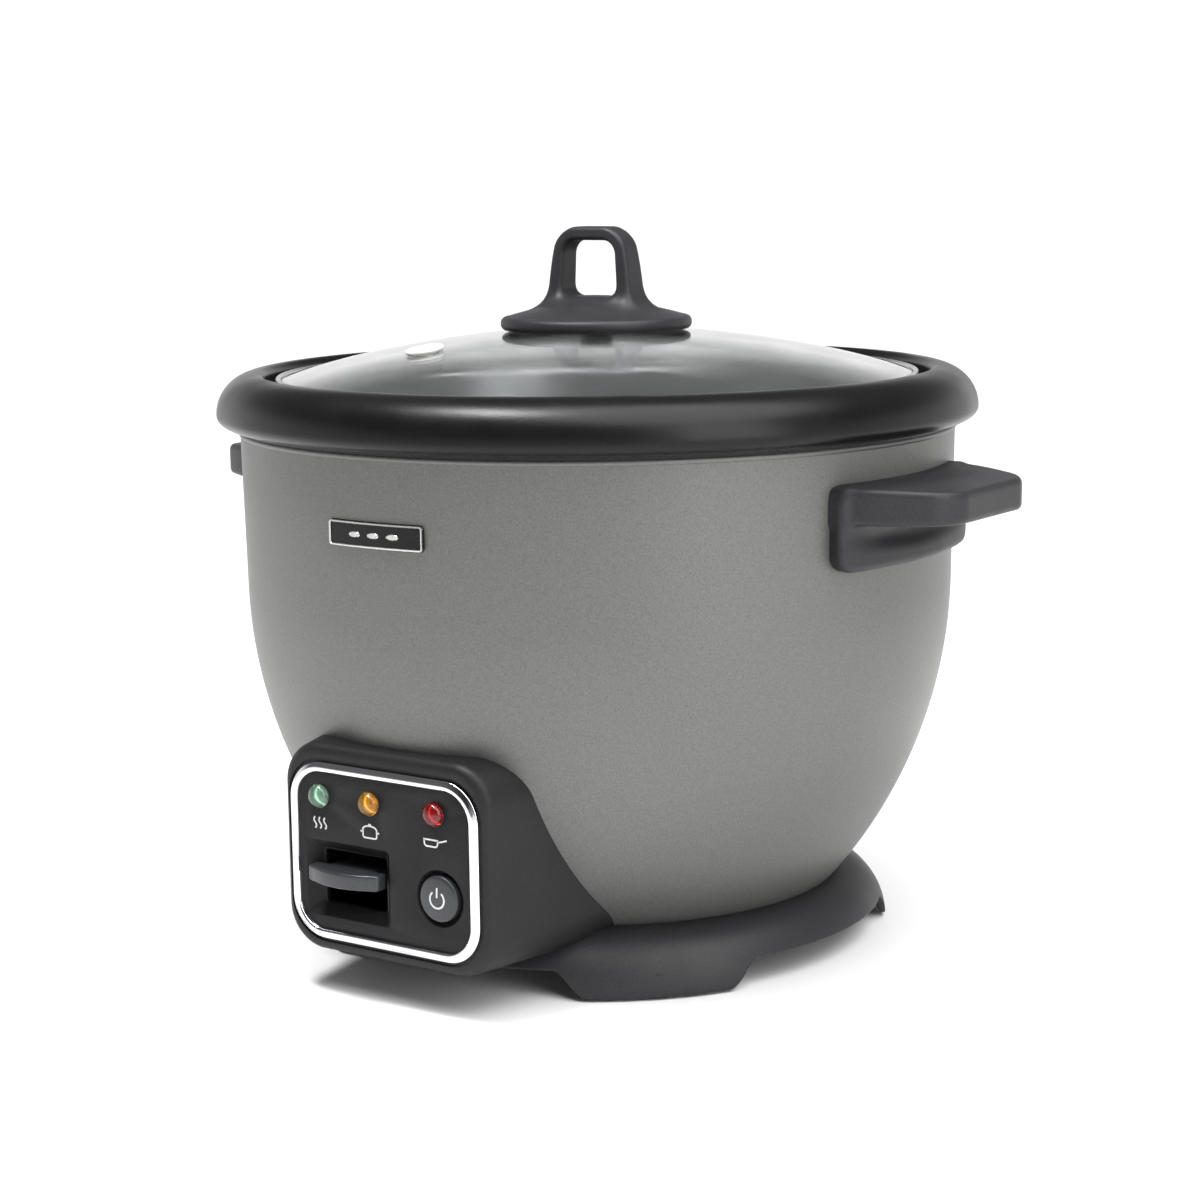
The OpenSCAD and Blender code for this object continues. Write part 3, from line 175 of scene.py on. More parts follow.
def lathe(name, profile, steps=256, smooth_angle=40):
    """Solid of revolution about Z from a closed outline of (radius, height) points."""
    verts, rings = [], []
    for r, z in profile:
        if r < 1e-7:
            rings.append([len(verts)] * steps)
            verts.append((0, 0, z))
            continue
        rings.append(list(range(len(verts), len(verts) + steps)))
        for k in range(steps):
            a = 2 * math.pi * k / steps
            verts.append((r * math.cos(a), r * math.sin(a), z))
    faces = []
    count = len(rings)
    for i in range(count):
        low, high = rings[i], rings[(i + 1) % count]
        for k in range(steps):
            n = (k + 1) % steps
            face = list(dict.fromkeys([low[k], low[n], high[n], high[k]]))
            if len(face) > 2:
                faces.append(face)
    return mesh_object(name, verts, faces, smooth_angle)


def rounded_rect(w, h, r, steps=8):
    """Outline of a rounded rectangle about the origin, counted from the right side up."""
    x, y = w / 2 - r, h / 2 - r
    return (arc(x, y, r, r, 0, 90, steps) + arc(-x, y, r, r, 90, 180, steps)
            + arc(-x, -y, r, r, 180, 270, steps) + arc(x, -y, r, r, 270, 360, steps))


def loft(name, sections, smooth_angle=40):
    """Closed solid through outlines with the same number of points, each a list of (x, y, z)."""
    n = len(sections[0])
    verts = [p for section in sections for p in section]
    faces = []
    for i in range(len(sections) - 1):
        for k in range(n):
            a, b = i * n + k, i * n + (k + 1) % n
            faces.append((a, b, b + n, a + n))
    faces.append(tuple(range(n)))
    faces.append(tuple(reversed(range((len(sections) - 1) * n, len(sections) * n))))
    return mesh_object(name, verts, faces, smooth_angle)


def band_faces(rows, n):
    """Faces of a tube that closes on itself: rows outlines of n points each."""
    faces = []
    for i in range(rows):
        j = (i + 1) % rows
        for k in range(n):
            m = (k + 1) % n
            faces.append((i * n + k, i * n + m, j * n + m, j * n + k))
    return faces


def across(name, outline, y0, y1, z=0.0, x=0.0):
    """Plate across Y, its outline in X and Z about (x, z)."""
    return loft(name, [[(x + p, y, z + q) for p, q in outline] for y in (y0, y1)])


def box_object(name, lo, hi):
    xs, ys, zs = zip(lo, hi)
    verts = [(x, y, z) for x in xs for y in ys for z in zs]
    faces = [(0, 1, 3, 2), (4, 6, 7, 5), (0, 4, 5, 1), (2, 3, 7, 6), (0, 2, 6, 4), (1, 5, 7, 3)]
    return mesh_object(name, verts, faces)


def cylinder_y(name, x, z, r, y0, y1, steps=64):
    outline = [(r * math.cos(2 * math.pi * k / steps), r * math.sin(2 * math.pi * k / steps))
               for k in range(steps)]
    return across(name, outline, y0, y1, z, x)


def apply_modifiers(obj):
    bpy.context.view_layer.update()
    graph = bpy.context.evaluated_depsgraph_get()
    made = bpy.data.meshes.new_from_object(obj.evaluated_get(graph), depsgraph=graph)
    made.name = obj.name
    obj.modifiers.clear()
    obj.data = made
    return obj


def combine(obj, other, operation):
    """Cuts other from obj, joins it to obj, or keeps what they share. Other is used up."""
    m = obj.modifiers.new("combine", "BOOLEAN")
    m.operation = operation
    m.object = other
    m.solver = "EXACT"
    apply_modifiers(obj)
    bpy.data.objects.remove(other)
    return obj


def cut(obj, *others):
    for other in others:
        combine(obj, other, "DIFFERENCE")
    return obj


def add(obj, *others):
    for other in others:
        combine(obj, other, "UNION")
    return obj


def soften(obj, width, segments=3, angle=35, smooth_angle=40):
    """Rounds the edges that are sharper than angle."""
    outward(obj, 0.01 * MM)
    m = obj.modifiers.new("soften", "BEVEL")
    m.width = width
    m.segments = segments
    m.limit_method = "ANGLE"
    m.angle_limit = math.radians(angle)
    apply_modifiers(obj)
    shade(obj, smooth_angle)
    return obj


def join(name, objects):
    """One object from several closed solids that only touch."""
    verts, faces = [], []
    for o in objects:
        start = len(verts)
        verts += [o.matrix_world @ v.co for v in o.data.vertices]
        faces += [[start + i for i in p.vertices] for p in o.data.polygons]
        bpy.data.objects.remove(o)
    return mesh_object(name, verts, faces)


# ---- smooth blended solids
def neighbours(axis):
    """Slices that pick the lower and the upper of each two neighbours along an axis."""
    low, high = [slice(None)] * 3, [slice(None)] * 3
    low[axis], high[axis] = slice(None, -1), slice(1, None)
    return tuple(low), tuple(high)


def surface(name, field, lo, hi, step):
    """Mesh of the surface where field(x, y, z) is zero: one vertex in each cell that it crosses."""
    axes = [np.arange(a, b + step, step) for a, b in zip(lo, hi)]
    gx, gy, gz = np.meshgrid(*axes, indexing="ij")
    value = field(gx, gy, gz)
    inside = value < 0
    total = np.zeros(tuple(s - 1 for s in value.shape) + (3,))
    count = np.zeros(total.shape[:3])
    grid = np.stack([gx, gy, gz], axis=-1)
    for axis in range(3):
        a, b = neighbours(axis)
        crossed = inside[a] != inside[b]
        share = np.where(crossed, value[a] / np.where(crossed, value[a] - value[b], 1), 0)
        point = grid[a] + share[..., None] * (grid[b] - grid[a])
        others = [i for i in range(3) if i != axis]
        for u in (0, 1):
            for v in (0, 1):
                pick = [slice(None)] * 3
                pick[others[0]] = slice(u, crossed.shape[others[0]] - 1 + u)
                pick[others[1]] = slice(v, crossed.shape[others[1]] - 1 + v)
                hit = crossed[tuple(pick)]
                total += np.where(hit[..., None], point[tuple(pick)], 0)
                count += hit
    used = count > 0
    number = np.full(used.shape, -1, int)
    number[used] = np.arange(used.sum())
    verts = total[used] / count[used][:, None]
    faces = []
    for axis in range(3):
        a, b = neighbours(axis)
        where = np.argwhere(inside[a] != inside[b])
        j, k = [(1, 2), (2, 0), (0, 1)][axis]
        where = where[(where[:, j] > 0) & (where[:, k] > 0)]
        corners = []
        for dj, dk in ((1, 1), (0, 1), (0, 0), (1, 0)):
            at = where.copy()
            at[:, j] -= dj
            at[:, k] -= dk
            corners.append(number[at[:, 0], at[:, 1], at[:, 2]])
        quads = np.stack(corners, axis=1)
        flip = ~inside[where[:, 0], where[:, 1], where[:, 2]]
        quads[flip] = quads[flip][:, ::-1]
        faces.append(quads)
    for _ in range(3):
        verts = towards_zero(field, verts, step)
    return mesh_object(name, verts, np.concatenate(faces).tolist(), 60)


def towards_zero(field, points, step):
    """Moves points along the field's slope, by at most half a step, to where it is zero."""
    h = step * 0.1
    x, y, z = points.T
    here = field(x, y, z)
    slope = np.stack([
        field(x + h, y, z) - field(x - h, y, z),
        field(x, y + h, z) - field(x, y - h, z),
        field(x, y, z + h) - field(x, y, z - h)], axis=1) / (2 * h)
    size = np.maximum((slope ** 2).sum(axis=1), 0.05)
    move = -slope * (here / size)[:, None]
    far = np.maximum(np.linalg.norm(move, axis=1) / (0.5 * step), 1)
    return points + move / far[:, None]


def blend(a, b, k):
    """Union of two fields with a fillet of about k."""
    h = np.clip(0.5 + 0.5 * (b - a) / k, 0, 1)
    return b + (a - b) * h - k * h * (1 - h)


def carve(a, b, k):
    """Field a without b, the new edge rounded by about k."""
    return -blend(-a, b, k)


def slab(flat, dz, r):
    """Flat field given thickness: dz is the height's own field. Edges are rounded by r."""
    a, b = flat + r, dz + r
    return np.hypot(np.maximum(a, 0), np.maximum(b, 0)) + np.minimum(np.maximum(a, b), 0) - r


def round_box(x, y, half_x, half_y, r):
    """Flat field of a rectangle with round corners."""
    return slab(np.abs(x) - half_x, np.abs(y) - half_y, r)


# ---- materials
def new_material(name):
    m = bpy.data.materials.new(name)
    m.use_nodes = True
    return m, m.node_tree.nodes, m.node_tree.links, m.node_tree.nodes["Principled BSDF"]


def noise(nodes, links, scale, detail=3.0, stretch=None):
    """Noise in the object's own metres."""
    spot = nodes.new("ShaderNodeTexCoord").outputs["Object"]
    tex = nodes.new("ShaderNodeTexNoise")
    tex.inputs["Scale"].default_value = scale
    tex.inputs["Detail"].default_value = detail
    if stretch:
        mapping = nodes.new("ShaderNodeMapping")
        mapping.inputs["Scale"].default_value = stretch
        links.new(spot, mapping.inputs["Vector"])
        spot = mapping.outputs["Vector"]
    links.new(spot, tex.inputs["Vector"])
    return tex.outputs["Fac"]


def ramp(nodes, links, source, low, high, start=0.3, end=0.7):
    """Colour or grey that runs from low to high as source runs from start to end."""
    node = nodes.new("ShaderNodeValToRGB")
    node.color_ramp.elements[0].position = start
    node.color_ramp.elements[1].position = end
    grey = not hasattr(low, "__len__")
    node.color_ramp.elements[0].color = (low, low, low, 1) if grey else (*low, 1)
    node.color_ramp.elements[1].color = (high, high, high, 1) if grey else (*high, 1)
    links.new(source, node.inputs["Fac"])
    return node.outputs["Color"]


def bump(nodes, links, shader, height, distance, strength=1.0):
    node = nodes.new("ShaderNodeBump")
    node.inputs["Distance"].default_value = distance
    node.inputs["Strength"].default_value = strength
    links.new(height, node.inputs["Height"])
    links.new(node.outputs["Normal"], shader.inputs["Normal"])


def moulded(name, colour, roughness, grain=1500, depth=0.06 * MM, change=0.25, shine=0.5):
    """Moulded plastic or rubber: a fine spark-eroded grain, with colour and gloss that vary a little."""
    m, nodes, links, shader = new_material(name)
    shader.inputs["Specular IOR Level"].default_value = shine
    fine = noise(nodes, links, grain, 2.0)
    broad = noise(nodes, links, 40, 3.0)
    dark = [c * (1 - change) for c in colour]
    light = [c * (1 + change) for c in colour]
    links.new(ramp(nodes, links, fine, dark, light), shader.inputs["Base Color"])
    links.new(ramp(nodes, links, broad, roughness - 0.05, roughness + 0.05), shader.inputs["Roughness"])
    bump(nodes, links, shader, fine, depth)
    return m


def brushed(name, colour, roughness, stretch=(1, 1, 30), scale=60, depth=0.02 * MM):
    """Metal with fine lines left by brushing, spinning or drawing."""
    m, nodes, links, shader = new_material(name)
    lines = noise(nodes, links, scale, 6.0, stretch)
    shader.inputs["Metallic"].default_value = 1.0
    dark = [c * 0.86 for c in colour]
    links.new(ramp(nodes, links, lines, dark, colour), shader.inputs["Base Color"])
    links.new(ramp(nodes, links, lines, roughness + 0.08, roughness - 0.06), shader.inputs["Roughness"])
    bump(nodes, links, shader, lines, depth)
    return m


def shell_paint(name):
    """Satin metallic grey over steel, with the speckle of fine flakes."""
    m, nodes, links, shader = new_material(name)
    flakes = noise(nodes, links, 1700, 2.0)
    broad = noise(nodes, links, 18, 2.0)
    links.new(ramp(nodes, links, flakes, (0.112, 0.111, 0.109), (0.152, 0.151, 0.147), 0.3, 0.7),
              shader.inputs["Base Color"])
    links.new(ramp(nodes, links, broad, 0.40, 0.46), shader.inputs["Roughness"])
    bump(nodes, links, shader, flakes, 0.05 * MM)
    shader.inputs["Metallic"].default_value = 0.5
    shader.inputs["Specular IOR Level"].default_value = 0.35
    return m


def chrome(name):
    """Plated plastic with a faint ripple."""
    m, nodes, links, shader = new_material(name)
    ripple = noise(nodes, links, 90, 1.0)
    shader.inputs["Metallic"].default_value = 1.0
    shader.inputs["Base Color"].default_value = (0.72, 0.73, 0.75, 1)
    links.new(ramp(nodes, links, ripple, 0.05, 0.10), shader.inputs["Roughness"])
    bump(nodes, links, shader, ripple, 0.04 * MM)
    return m


def clear(name, colour, roughness=0.03, weight=1.0, ior=1.46, smear=60):
    """Glass or clear plastic with faint smears that change its gloss."""
    m, nodes, links, shader = new_material(name)
    smears = noise(nodes, links, smear, 4.0)
    shader.inputs["Base Color"].default_value = (*colour, 1)
    shader.inputs["Transmission Weight"].default_value = weight
    shader.inputs["IOR"].default_value = ior
    links.new(ramp(nodes, links, smears, roughness, roughness + 0.05), shader.inputs["Roughness"])
    return m


def make_materials():
    """Every look by name: the function that makes it, then what that function is given."""
    grey = (0.62, 0.62, 0.63)
    looks = {
        "shell_paint": (shell_paint,),
        "ring_plastic": (moulded, (0.004, 0.004, 0.0044), 0.31, 1100, 0.03 * MM, 0.2, 0.22),
        "body_plastic": (moulded, (0.016, 0.016, 0.018), 0.50, 1500, 0.05 * MM, 0.25, 0.35),
        "panel_plastic": (moulded, (0.008, 0.008, 0.009), 0.46, 1600, 0.04 * MM, 0.25, 0.2),
        "housing_plastic": (moulded, (0.010, 0.010, 0.011), 0.5, 1500, 0.05 * MM, 0.25, 0.25),
        "lever_plastic": (moulded, (0.024, 0.025, 0.029), 0.34, 900, 0.02 * MM, 0.2),
        "chrome_trim": (chrome,),
        "lens_green": (clear, (0.36, 0.60, 0.44), 0.02, 0.85),
        "lens_amber": (clear, (0.85, 0.42, 0.04), 0.02, 0.85),
        "lens_red": (clear, (0.50, 0.02, 0.02), 0.02, 0.85),
        "steel": (brushed, grey, 0.28),
        "screw_steel": (brushed, (0.55, 0.55, 0.56), 0.35, (1, 1, 1), 400),
        "spring_steel": (brushed, (0.5, 0.5, 0.52), 0.3, (1, 1, 1), 500),
        "aluminium": (brushed, (0.56, 0.56, 0.57), 0.34, (1, 1, 40), 40),
        "cast_aluminium": (brushed, grey, 0.5, (1, 1, 1), 300, 0.1 * MM),
        "brass": (brushed, (0.72, 0.53, 0.24), 0.3, (1, 1, 1), 300),
        "ceramic": (moulded, (0.80, 0.78, 0.72), 0.5, 600, 0.05 * MM, 0.06),
        "ferrite": (moulded, (0.05, 0.05, 0.05), 0.55, 700, 0.05 * MM, 0.2),
        "board": (moulded, (0.03, 0.16, 0.05), 0.35, 300, 0.02 * MM, 0.2),
        "bulb": (clear, (0.95, 0.95, 0.90)),
        "wire_sleeve": (moulded, (0.70, 0.65, 0.55), 0.8, 1500, 0.2 * MM, 0.15),
        "rubber": (moulded, (0.035, 0.035, 0.036), 0.75, 700, 0.08 * MM, 0.2),
        "silicone": (moulded, (0.82, 0.82, 0.80), 0.45, 500, 0.02 * MM, 0.04),
        "glass": (clear, (0.88, 0.895, 0.89), 0.015),
        "mica": (moulded, (0.50, 0.41, 0.26), 0.6, 200, 0.05 * MM, 0.2),
        "switch_body": (moulded, (0.70, 0.69, 0.65), 0.5, 700, 0.03 * MM, 0.06),
        "print_white": (moulded, grey, 0.5, 900, 0.01 * MM, 0.05),
        "print_silver": (brushed, (0.55, 0.54, 0.52), 0.3, (1, 1, 1), 700),
        "cup_white": (moulded, (0.85, 0.85, 0.85), 0.3, 500, 0.02 * MM, 0.1),
    }
    return {name: make(name, *values) for name, (make, *values) in looks.items()}


MATERIALS = make_materials()
NODE_SLOT = {s["node"]: s["material_slot"] for s in frame["record"]["subparts"]}


def paint(obj, slot):
    obj.data.materials.clear()
    obj.data.materials.append(MATERIALS[slot])
    return obj


def place(obj, node, slot=None):
    """obj stands for a CAD node: it rides on the node's body and takes its slot."""
    slot = slot or NODE_SLOT[node]
    paint(obj, slot)
    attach(obj, body_with(node))
    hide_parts(node)
    return obj


def detail(obj, body, slot, material=None):
    """A piece that no CAD node stands for."""
    paint(obj, material or slot)
    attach(obj, body)
    return obj


def body_with(node):
    bodies = frame["record"]["behaviour"]["bodies"]
    return next(b for b, nodes in bodies.items() if node in nodes)


# ---- shell and ring
def make_shell():
    """Bowl with a flange inwards at the bottom, open behind the control housing and the inlet."""
    floor_r = WAIST_R - 36 * MM
    window_half = 38 * MM
    margin = 4 * MM
    steps = 72
    heights = [BASE_H + (SHELL_TOP - BASE_H) * i / steps for i in range(steps + 1)]
    outer = [(shell_r(z), z) for z in heights]
    inner = [(shell_r(z) - SHELL_T, max(z, BASE_H + SHELL_T)) for z in reversed(heights)]
    shell = lathe("shell", [(floor_r, BASE_H)] + outer + inner + [(floor_r, BASE_H + SHELL_T)], 288)
    window = box_object("window", (-window_half, FACE_Y, BASE_H + margin),
                        (window_half, -60 * MM, BASE_H + margin + 40 * MM))
    plug = box_object("plug", (inlet_lo.x + margin, 60 * MM, inlet_lo.z + margin),
                      (inlet_hi.x - margin, 140 * MM, inlet_hi.z - margin))
    cut(shell, window, plug)
    shade(shell, 30)
    return place(shell, "outer_shell")


def make_shell_bead():
    """Rolled edge that shows as a thin line under the ring."""
    r = 1.1 * MM
    bead = lathe("shell_bead", arc(BODY_R - 0.4 * MM, SHELL_TOP - r, r, r, 0, 337.5, 15), 288)
    return detail(bead, "cooker", "shell_paint")


def make_ring():
    wall = 2.6 * MM
    seat = ring_lo.z
    top = ring_hi.z
    outer_r = ring_hi.x
    bulge = SHELL_TOP + 5.4 * MM
    lip_r = BODY_R + 1.0 * MM
    edge_r = 3.0 * MM
    in_r = 122.4 * MM
    rx = outer_r - in_r - edge_r
    profile = ([(in_r, seat)]
               + arc(in_r + edge_r, top - edge_r, edge_r, edge_r, 180, 90, 10)
               + arc(in_r + edge_r, bulge, rx, top - bulge, 90, 0, 28)[1:]
               + arc(lip_r, bulge, outer_r - lip_r, bulge - seat, 0, -90, 12)[1:]
               + [(lip_r - 0.1 * MM, seat - 0.8 * MM), (lip_r - 0.75 * MM, seat - 0.8 * MM),
                  (lip_r - 0.75 * MM, seat), (lip_r - wall, seat), (lip_r - wall, bulge)]
               + arc(in_r + edge_r, bulge, rx - wall, top - bulge - wall, 0, 90, 14)
               + [(in_r + wall, top - edge_r - wall), (in_r + wall, seat)])
    return place(lathe("ring", profile, 320), "top_ring")


# ---- base and feet
def make_base():
    """Flared skirt whose lower edge rises in an arch between each pair of feet."""
    flare = base_hi.x - WAIST_R
    floor = base_lo.z
    arch_h = 10.4 * MM
    wall = 2.6 * MM
    foot_half = math.radians(14)
    low_w = base_hi.x * math.sin(math.radians(45) - foot_half)
    high_w = low_w - 11 * MM
    columns, rows = 720, 22

    def skirt(z, inset):
        s = min(max((z - floor) / (BASE_H - floor - inset), 0.0), 1.0)
        return WAIST_R + (flare - inset) * math.sqrt(1 - s * s)

    def lower_edge(a):
        off = abs((math.degrees(a) + 45) % 90 - 45)
        y = (base_hi.x - 1.5 * MM) * math.sin(math.radians(off))
        share = min(max((low_w - y) / (low_w - high_w), 0.0), 1.0)
        return floor + (arch_h - floor) * (1 - math.cos(math.pi * share)) / 2

    verts, faces = [], []
    for c in range(columns):
        a = 2 * math.pi * c / columns
        edge = lower_edge(a)
        line = []
        for inset in (0.0, wall):
            top = BASE_H - inset
            part = []
            for i in range(rows + 1):
                t = math.sin(math.pi / 2 * i / rows)
                z = edge + (top - edge) * t
                part.append((skirt(z, inset), z))
            line += part if inset == 0.0 else part[::-1]
            if inset == 0.0:
                line += [(WAIST_R - 30 * MM, BASE_H), (WAIST_R - 30 * MM, BASE_H - 3 * MM)]
        loop = len(line)
        verts += [(r * math.cos(a), r * math.sin(a), z) for r, z in line]
    for c in range(columns):
        n = (c + 1) % columns
        for i in range(loop):
            j = (i + 1) % loop
            faces.append((c * loop + i, n * loop + i, n * loop + j, c * loop + j))
    base = mesh_object("base_skirt", verts, faces, 32)
    return soften(base, 0.5 * MM, 2, 50, 32)


def finish_base():
    skirt = make_base()
    bosses = []
    pad_r, boss_r, top = 7.0 * MM, 8.2 * MM, 9 * MM
    pad_spot = (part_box("foot_pads")[1].x - pad_r) * math.sqrt(2)
    for k in range(4):
        a = math.radians(45 + 90 * k)
        boss = lathe("boss", [(pad_r, 1.0 * MM), (boss_r, 1.0 * MM), (boss_r, top), (0, top),
                              (0, 3.0 * MM), (pad_r, 3.0 * MM)], 48)
        boss.data.transform(Matrix.Translation((pad_spot * math.cos(a), pad_spot * math.sin(a), 0)))
        bosses.append(boss)
    return place(join("base_shell", [skirt] + bosses), "base")


# ---- knob and lid
def make_knob():
    """Crowned disc and arched grip in one moulding, with soft fillets where the legs meet the disc."""
    disc_r = knob_hi.x
    disc_t, crown_h = 5.0 * MM, 5.0 * MM
    under_r = knob_under - dome_c
    disc_z = dome_c + math.sqrt(under_r ** 2 - disc_r ** 2)
    crown_z = disc_z + disc_t + crown_h
    top_z = knob_hi.z
    shoulder_r = 8.0 * MM
    window_top = top_z - 5.0 * MM
    window_low = crown_z + 0.3 * MM

    def field(x, y, z):
        r = np.hypot(x, y)
        crown = crown_h * np.clip(1 - (r / (disc_r - 2.4 * MM)) ** 2, 0, 1)
        half_t = (disc_t + crown) / 2
        disc = slab(r - disc_r, np.abs(z - disc_z - half_t) - half_t, 2.3 * MM)
        up = np.clip((z - disc_z - disc_t) / (top_z - disc_z - disc_t), 0, 1)
        # the arch draws in and gets thinner towards its top
        half = (18.9 - 2.4 * up - 2.8 * up ** 3) * MM
        high = (top_z + disc_z) / 2
        outer = round_box(x, z - high, half, top_z - high, shoulder_r)
        mid = (window_top + window_low) / 2
        inner = round_box(x, z - mid, (13.0 - 2.4 * up) * MM, window_top - mid, 5.0 * MM)
        depth = (6.2 - 1.2 * up) * MM
        arch = slab(np.maximum(outer, -inner), np.abs(y) - depth, 2.0 * MM)
        body = blend(arch, disc, 8.5 * MM)
        return np.maximum(body, under_r - np.sqrt(r ** 2 + (z - dome_c) ** 2))

    lo = (-disc_r - 2 * MM, -disc_r - 2 * MM, disc_z - 2 * MM)
    hi = (disc_r + 2 * MM, disc_r + 2 * MM, top_z + 2 * MM)
    knob = surface("knob", field, lo, hi, 0.6 * MM)
    return place(knob, "lid_knob")


def make_knob_stem():
    stem = lathe("knob_stem", [(1.6 * MM, knob_lo.z), (3.7 * MM, knob_lo.z), (3.7 * MM, knob_under + 1 * MM),
                               (1.6 * MM, knob_under + 1 * MM)], 48)
    return detail(stem, "lid", NODE_SLOT["lid_knob"])


def dome_point(radius, a):
    return radius * math.sin(a), dome_c + radius * math.cos(a)


def make_glass():
    """Dome of even thickness with a ground edge, and holes for the knob and the steam vent."""
    edge_in = math.asin(glass_hi.x / dome_in)
    edge_out = math.asin(glass_hi.x / dome_out)
    hole_in, hole_out = math.asin(4 * MM / dome_in), math.asin(4 * MM / dome_out)
    steps = 40
    top = [dome_point(dome_out, hole_out + (edge_out - hole_out) * i / steps) for i in range(steps)]
    r, z = dome_point(dome_out, edge_out)
    edge = [(r - 0.5 * MM, z + 0.1 * MM), (r, z - 0.5 * MM), (r, glass_lo.z)]
    under = [dome_point(dome_in, hole_in + (edge_in - hole_in) * i / steps)
             for i in reversed(range(steps - 1))]
    glass = lathe("glass_dome", top[:-1] + edge + under, 288, 30)
    hole = lathe("vent_hole", [(0, -12 * MM), (5 * MM, -12 * MM), (5 * MM, 12 * MM), (0, 12 * MM)], 48)
    hole.data.transform(vent_spot)
    cut(glass, hole)
    shade(glass, 30)
    return place(glass, "lid_glass")


def make_lid_rim():
    """Rolled steel band around the glass."""
    z, top = rim_lo.z, rim_hi.z
    r, g = rim_hi.x, glass_hi.x
    profile = ([(g - 6 * MM, z), (r - 0.8 * MM, z)]
               + arc(r - 0.8 * MM, z + 0.8 * MM, 0.8 * MM, 0.8 * MM, -90, 0, 4)[1:]
               + arc(r - 1.0 * MM, top - 1.0 * MM, 1.0 * MM, 1.0 * MM, 0, 180, 10)
               + [(g + 0.05 * MM, glass_lo.z), (g - 6 * MM, glass_lo.z)])
    return place(lathe("rim_band", profile, 288), "lid_rim")


def make_steam_vent():
    """Silicone grommet with a rounded collar."""
    t = dome_out - dome_in
    collar = 7.0 * MM
    neck = 5.0 * MM
    profile = ([(1.6 * MM, 1.0 * MM)]
               + [(2.2 * MM, 1.5 * MM), (4.4 * MM, 1.9 * MM)]
               + arc(collar - 0.8 * MM, 1.1 * MM, 0.8 * MM, 0.8 * MM, 90, -90, 8)
               + [(neck, 0.3 * MM), (neck, -t - 0.3 * MM)]
               + arc(6.4 * MM - 0.6 * MM, -t - 1.3 * MM, 0.6 * MM, 0.9 * MM, 90, -90, 6)
               + [(1.6 * MM, -t - 2.2 * MM)])
    vent = lathe("vent_grommet", profile, 64)
    vent.data.transform(vent_spot)
    return place(vent, "steam_vent")


# ---- inner pot
def make_pot():
    """Spun aluminium pot with a rolled flange."""
    z0, z1 = pot_lo.z, pot_hi.z
    flange_r, top_r = pot_hi.x, POT_TOP_R
    wall, corner = POT_WALL, POT_CORNER
    flange_z = z1 - 2.2 * MM
    mid = POT_FOOT_R - corner
    profile = ([(0, z0)] + arc(mid, z0 + corner, corner, corner, -90, 0, 16)
               + [(top_r - 0.3 * MM, flange_z - 1.5 * MM), (top_r + 0.8 * MM, flange_z)]
               + arc(flange_r - 1.1 * MM, flange_z + 1.1 * MM, 1.1 * MM, 1.1 * MM, -90, 90, 10)
               + arc(top_r + 0.6 * MM, z1 - 2.6 * MM, 2.6 * MM, 2.6 * MM, 90, 180, 8)
               + arc(mid, z0 + corner, corner - wall, corner - wall, 0, -90, 16)
               + [(0, z0 + wall)])
    return place(lathe("pot", profile, 288), "inner_pot")


def make_level_marks():
    """Short raised lines at even heights inside the pot, with no lettering."""
    marks = []
    for i in range(5):
        z = pot_lo.z + (45 + 16 * i) * MM
        r = POT_FOOT_R - POT_WALL + POT_SLOPE * (z - pot_lo.z - POT_CORNER)
        half = math.radians(5.0 if i % 2 == 0 else 3.0)
        sections = []
        for k in range(9):
            a = math.radians(90) + half * (k / 4 - 1)
            c, s = math.cos(a), math.sin(a)
            inner, outer = r - 0.35 * MM, r + 0.4 * MM
            sections.append([(inner * c, inner * s, z - 0.4 * MM), (outer * c, outer * s, z - 0.4 * MM),
                             (outer * c, outer * s, z + 0.4 * MM), (inner * c, inner * s, z + 0.4 * MM)])
        marks.append(loft("mark", sections))
    return detail(join("level_marks", marks), "pot", NODE_SLOT["inner_pot"])


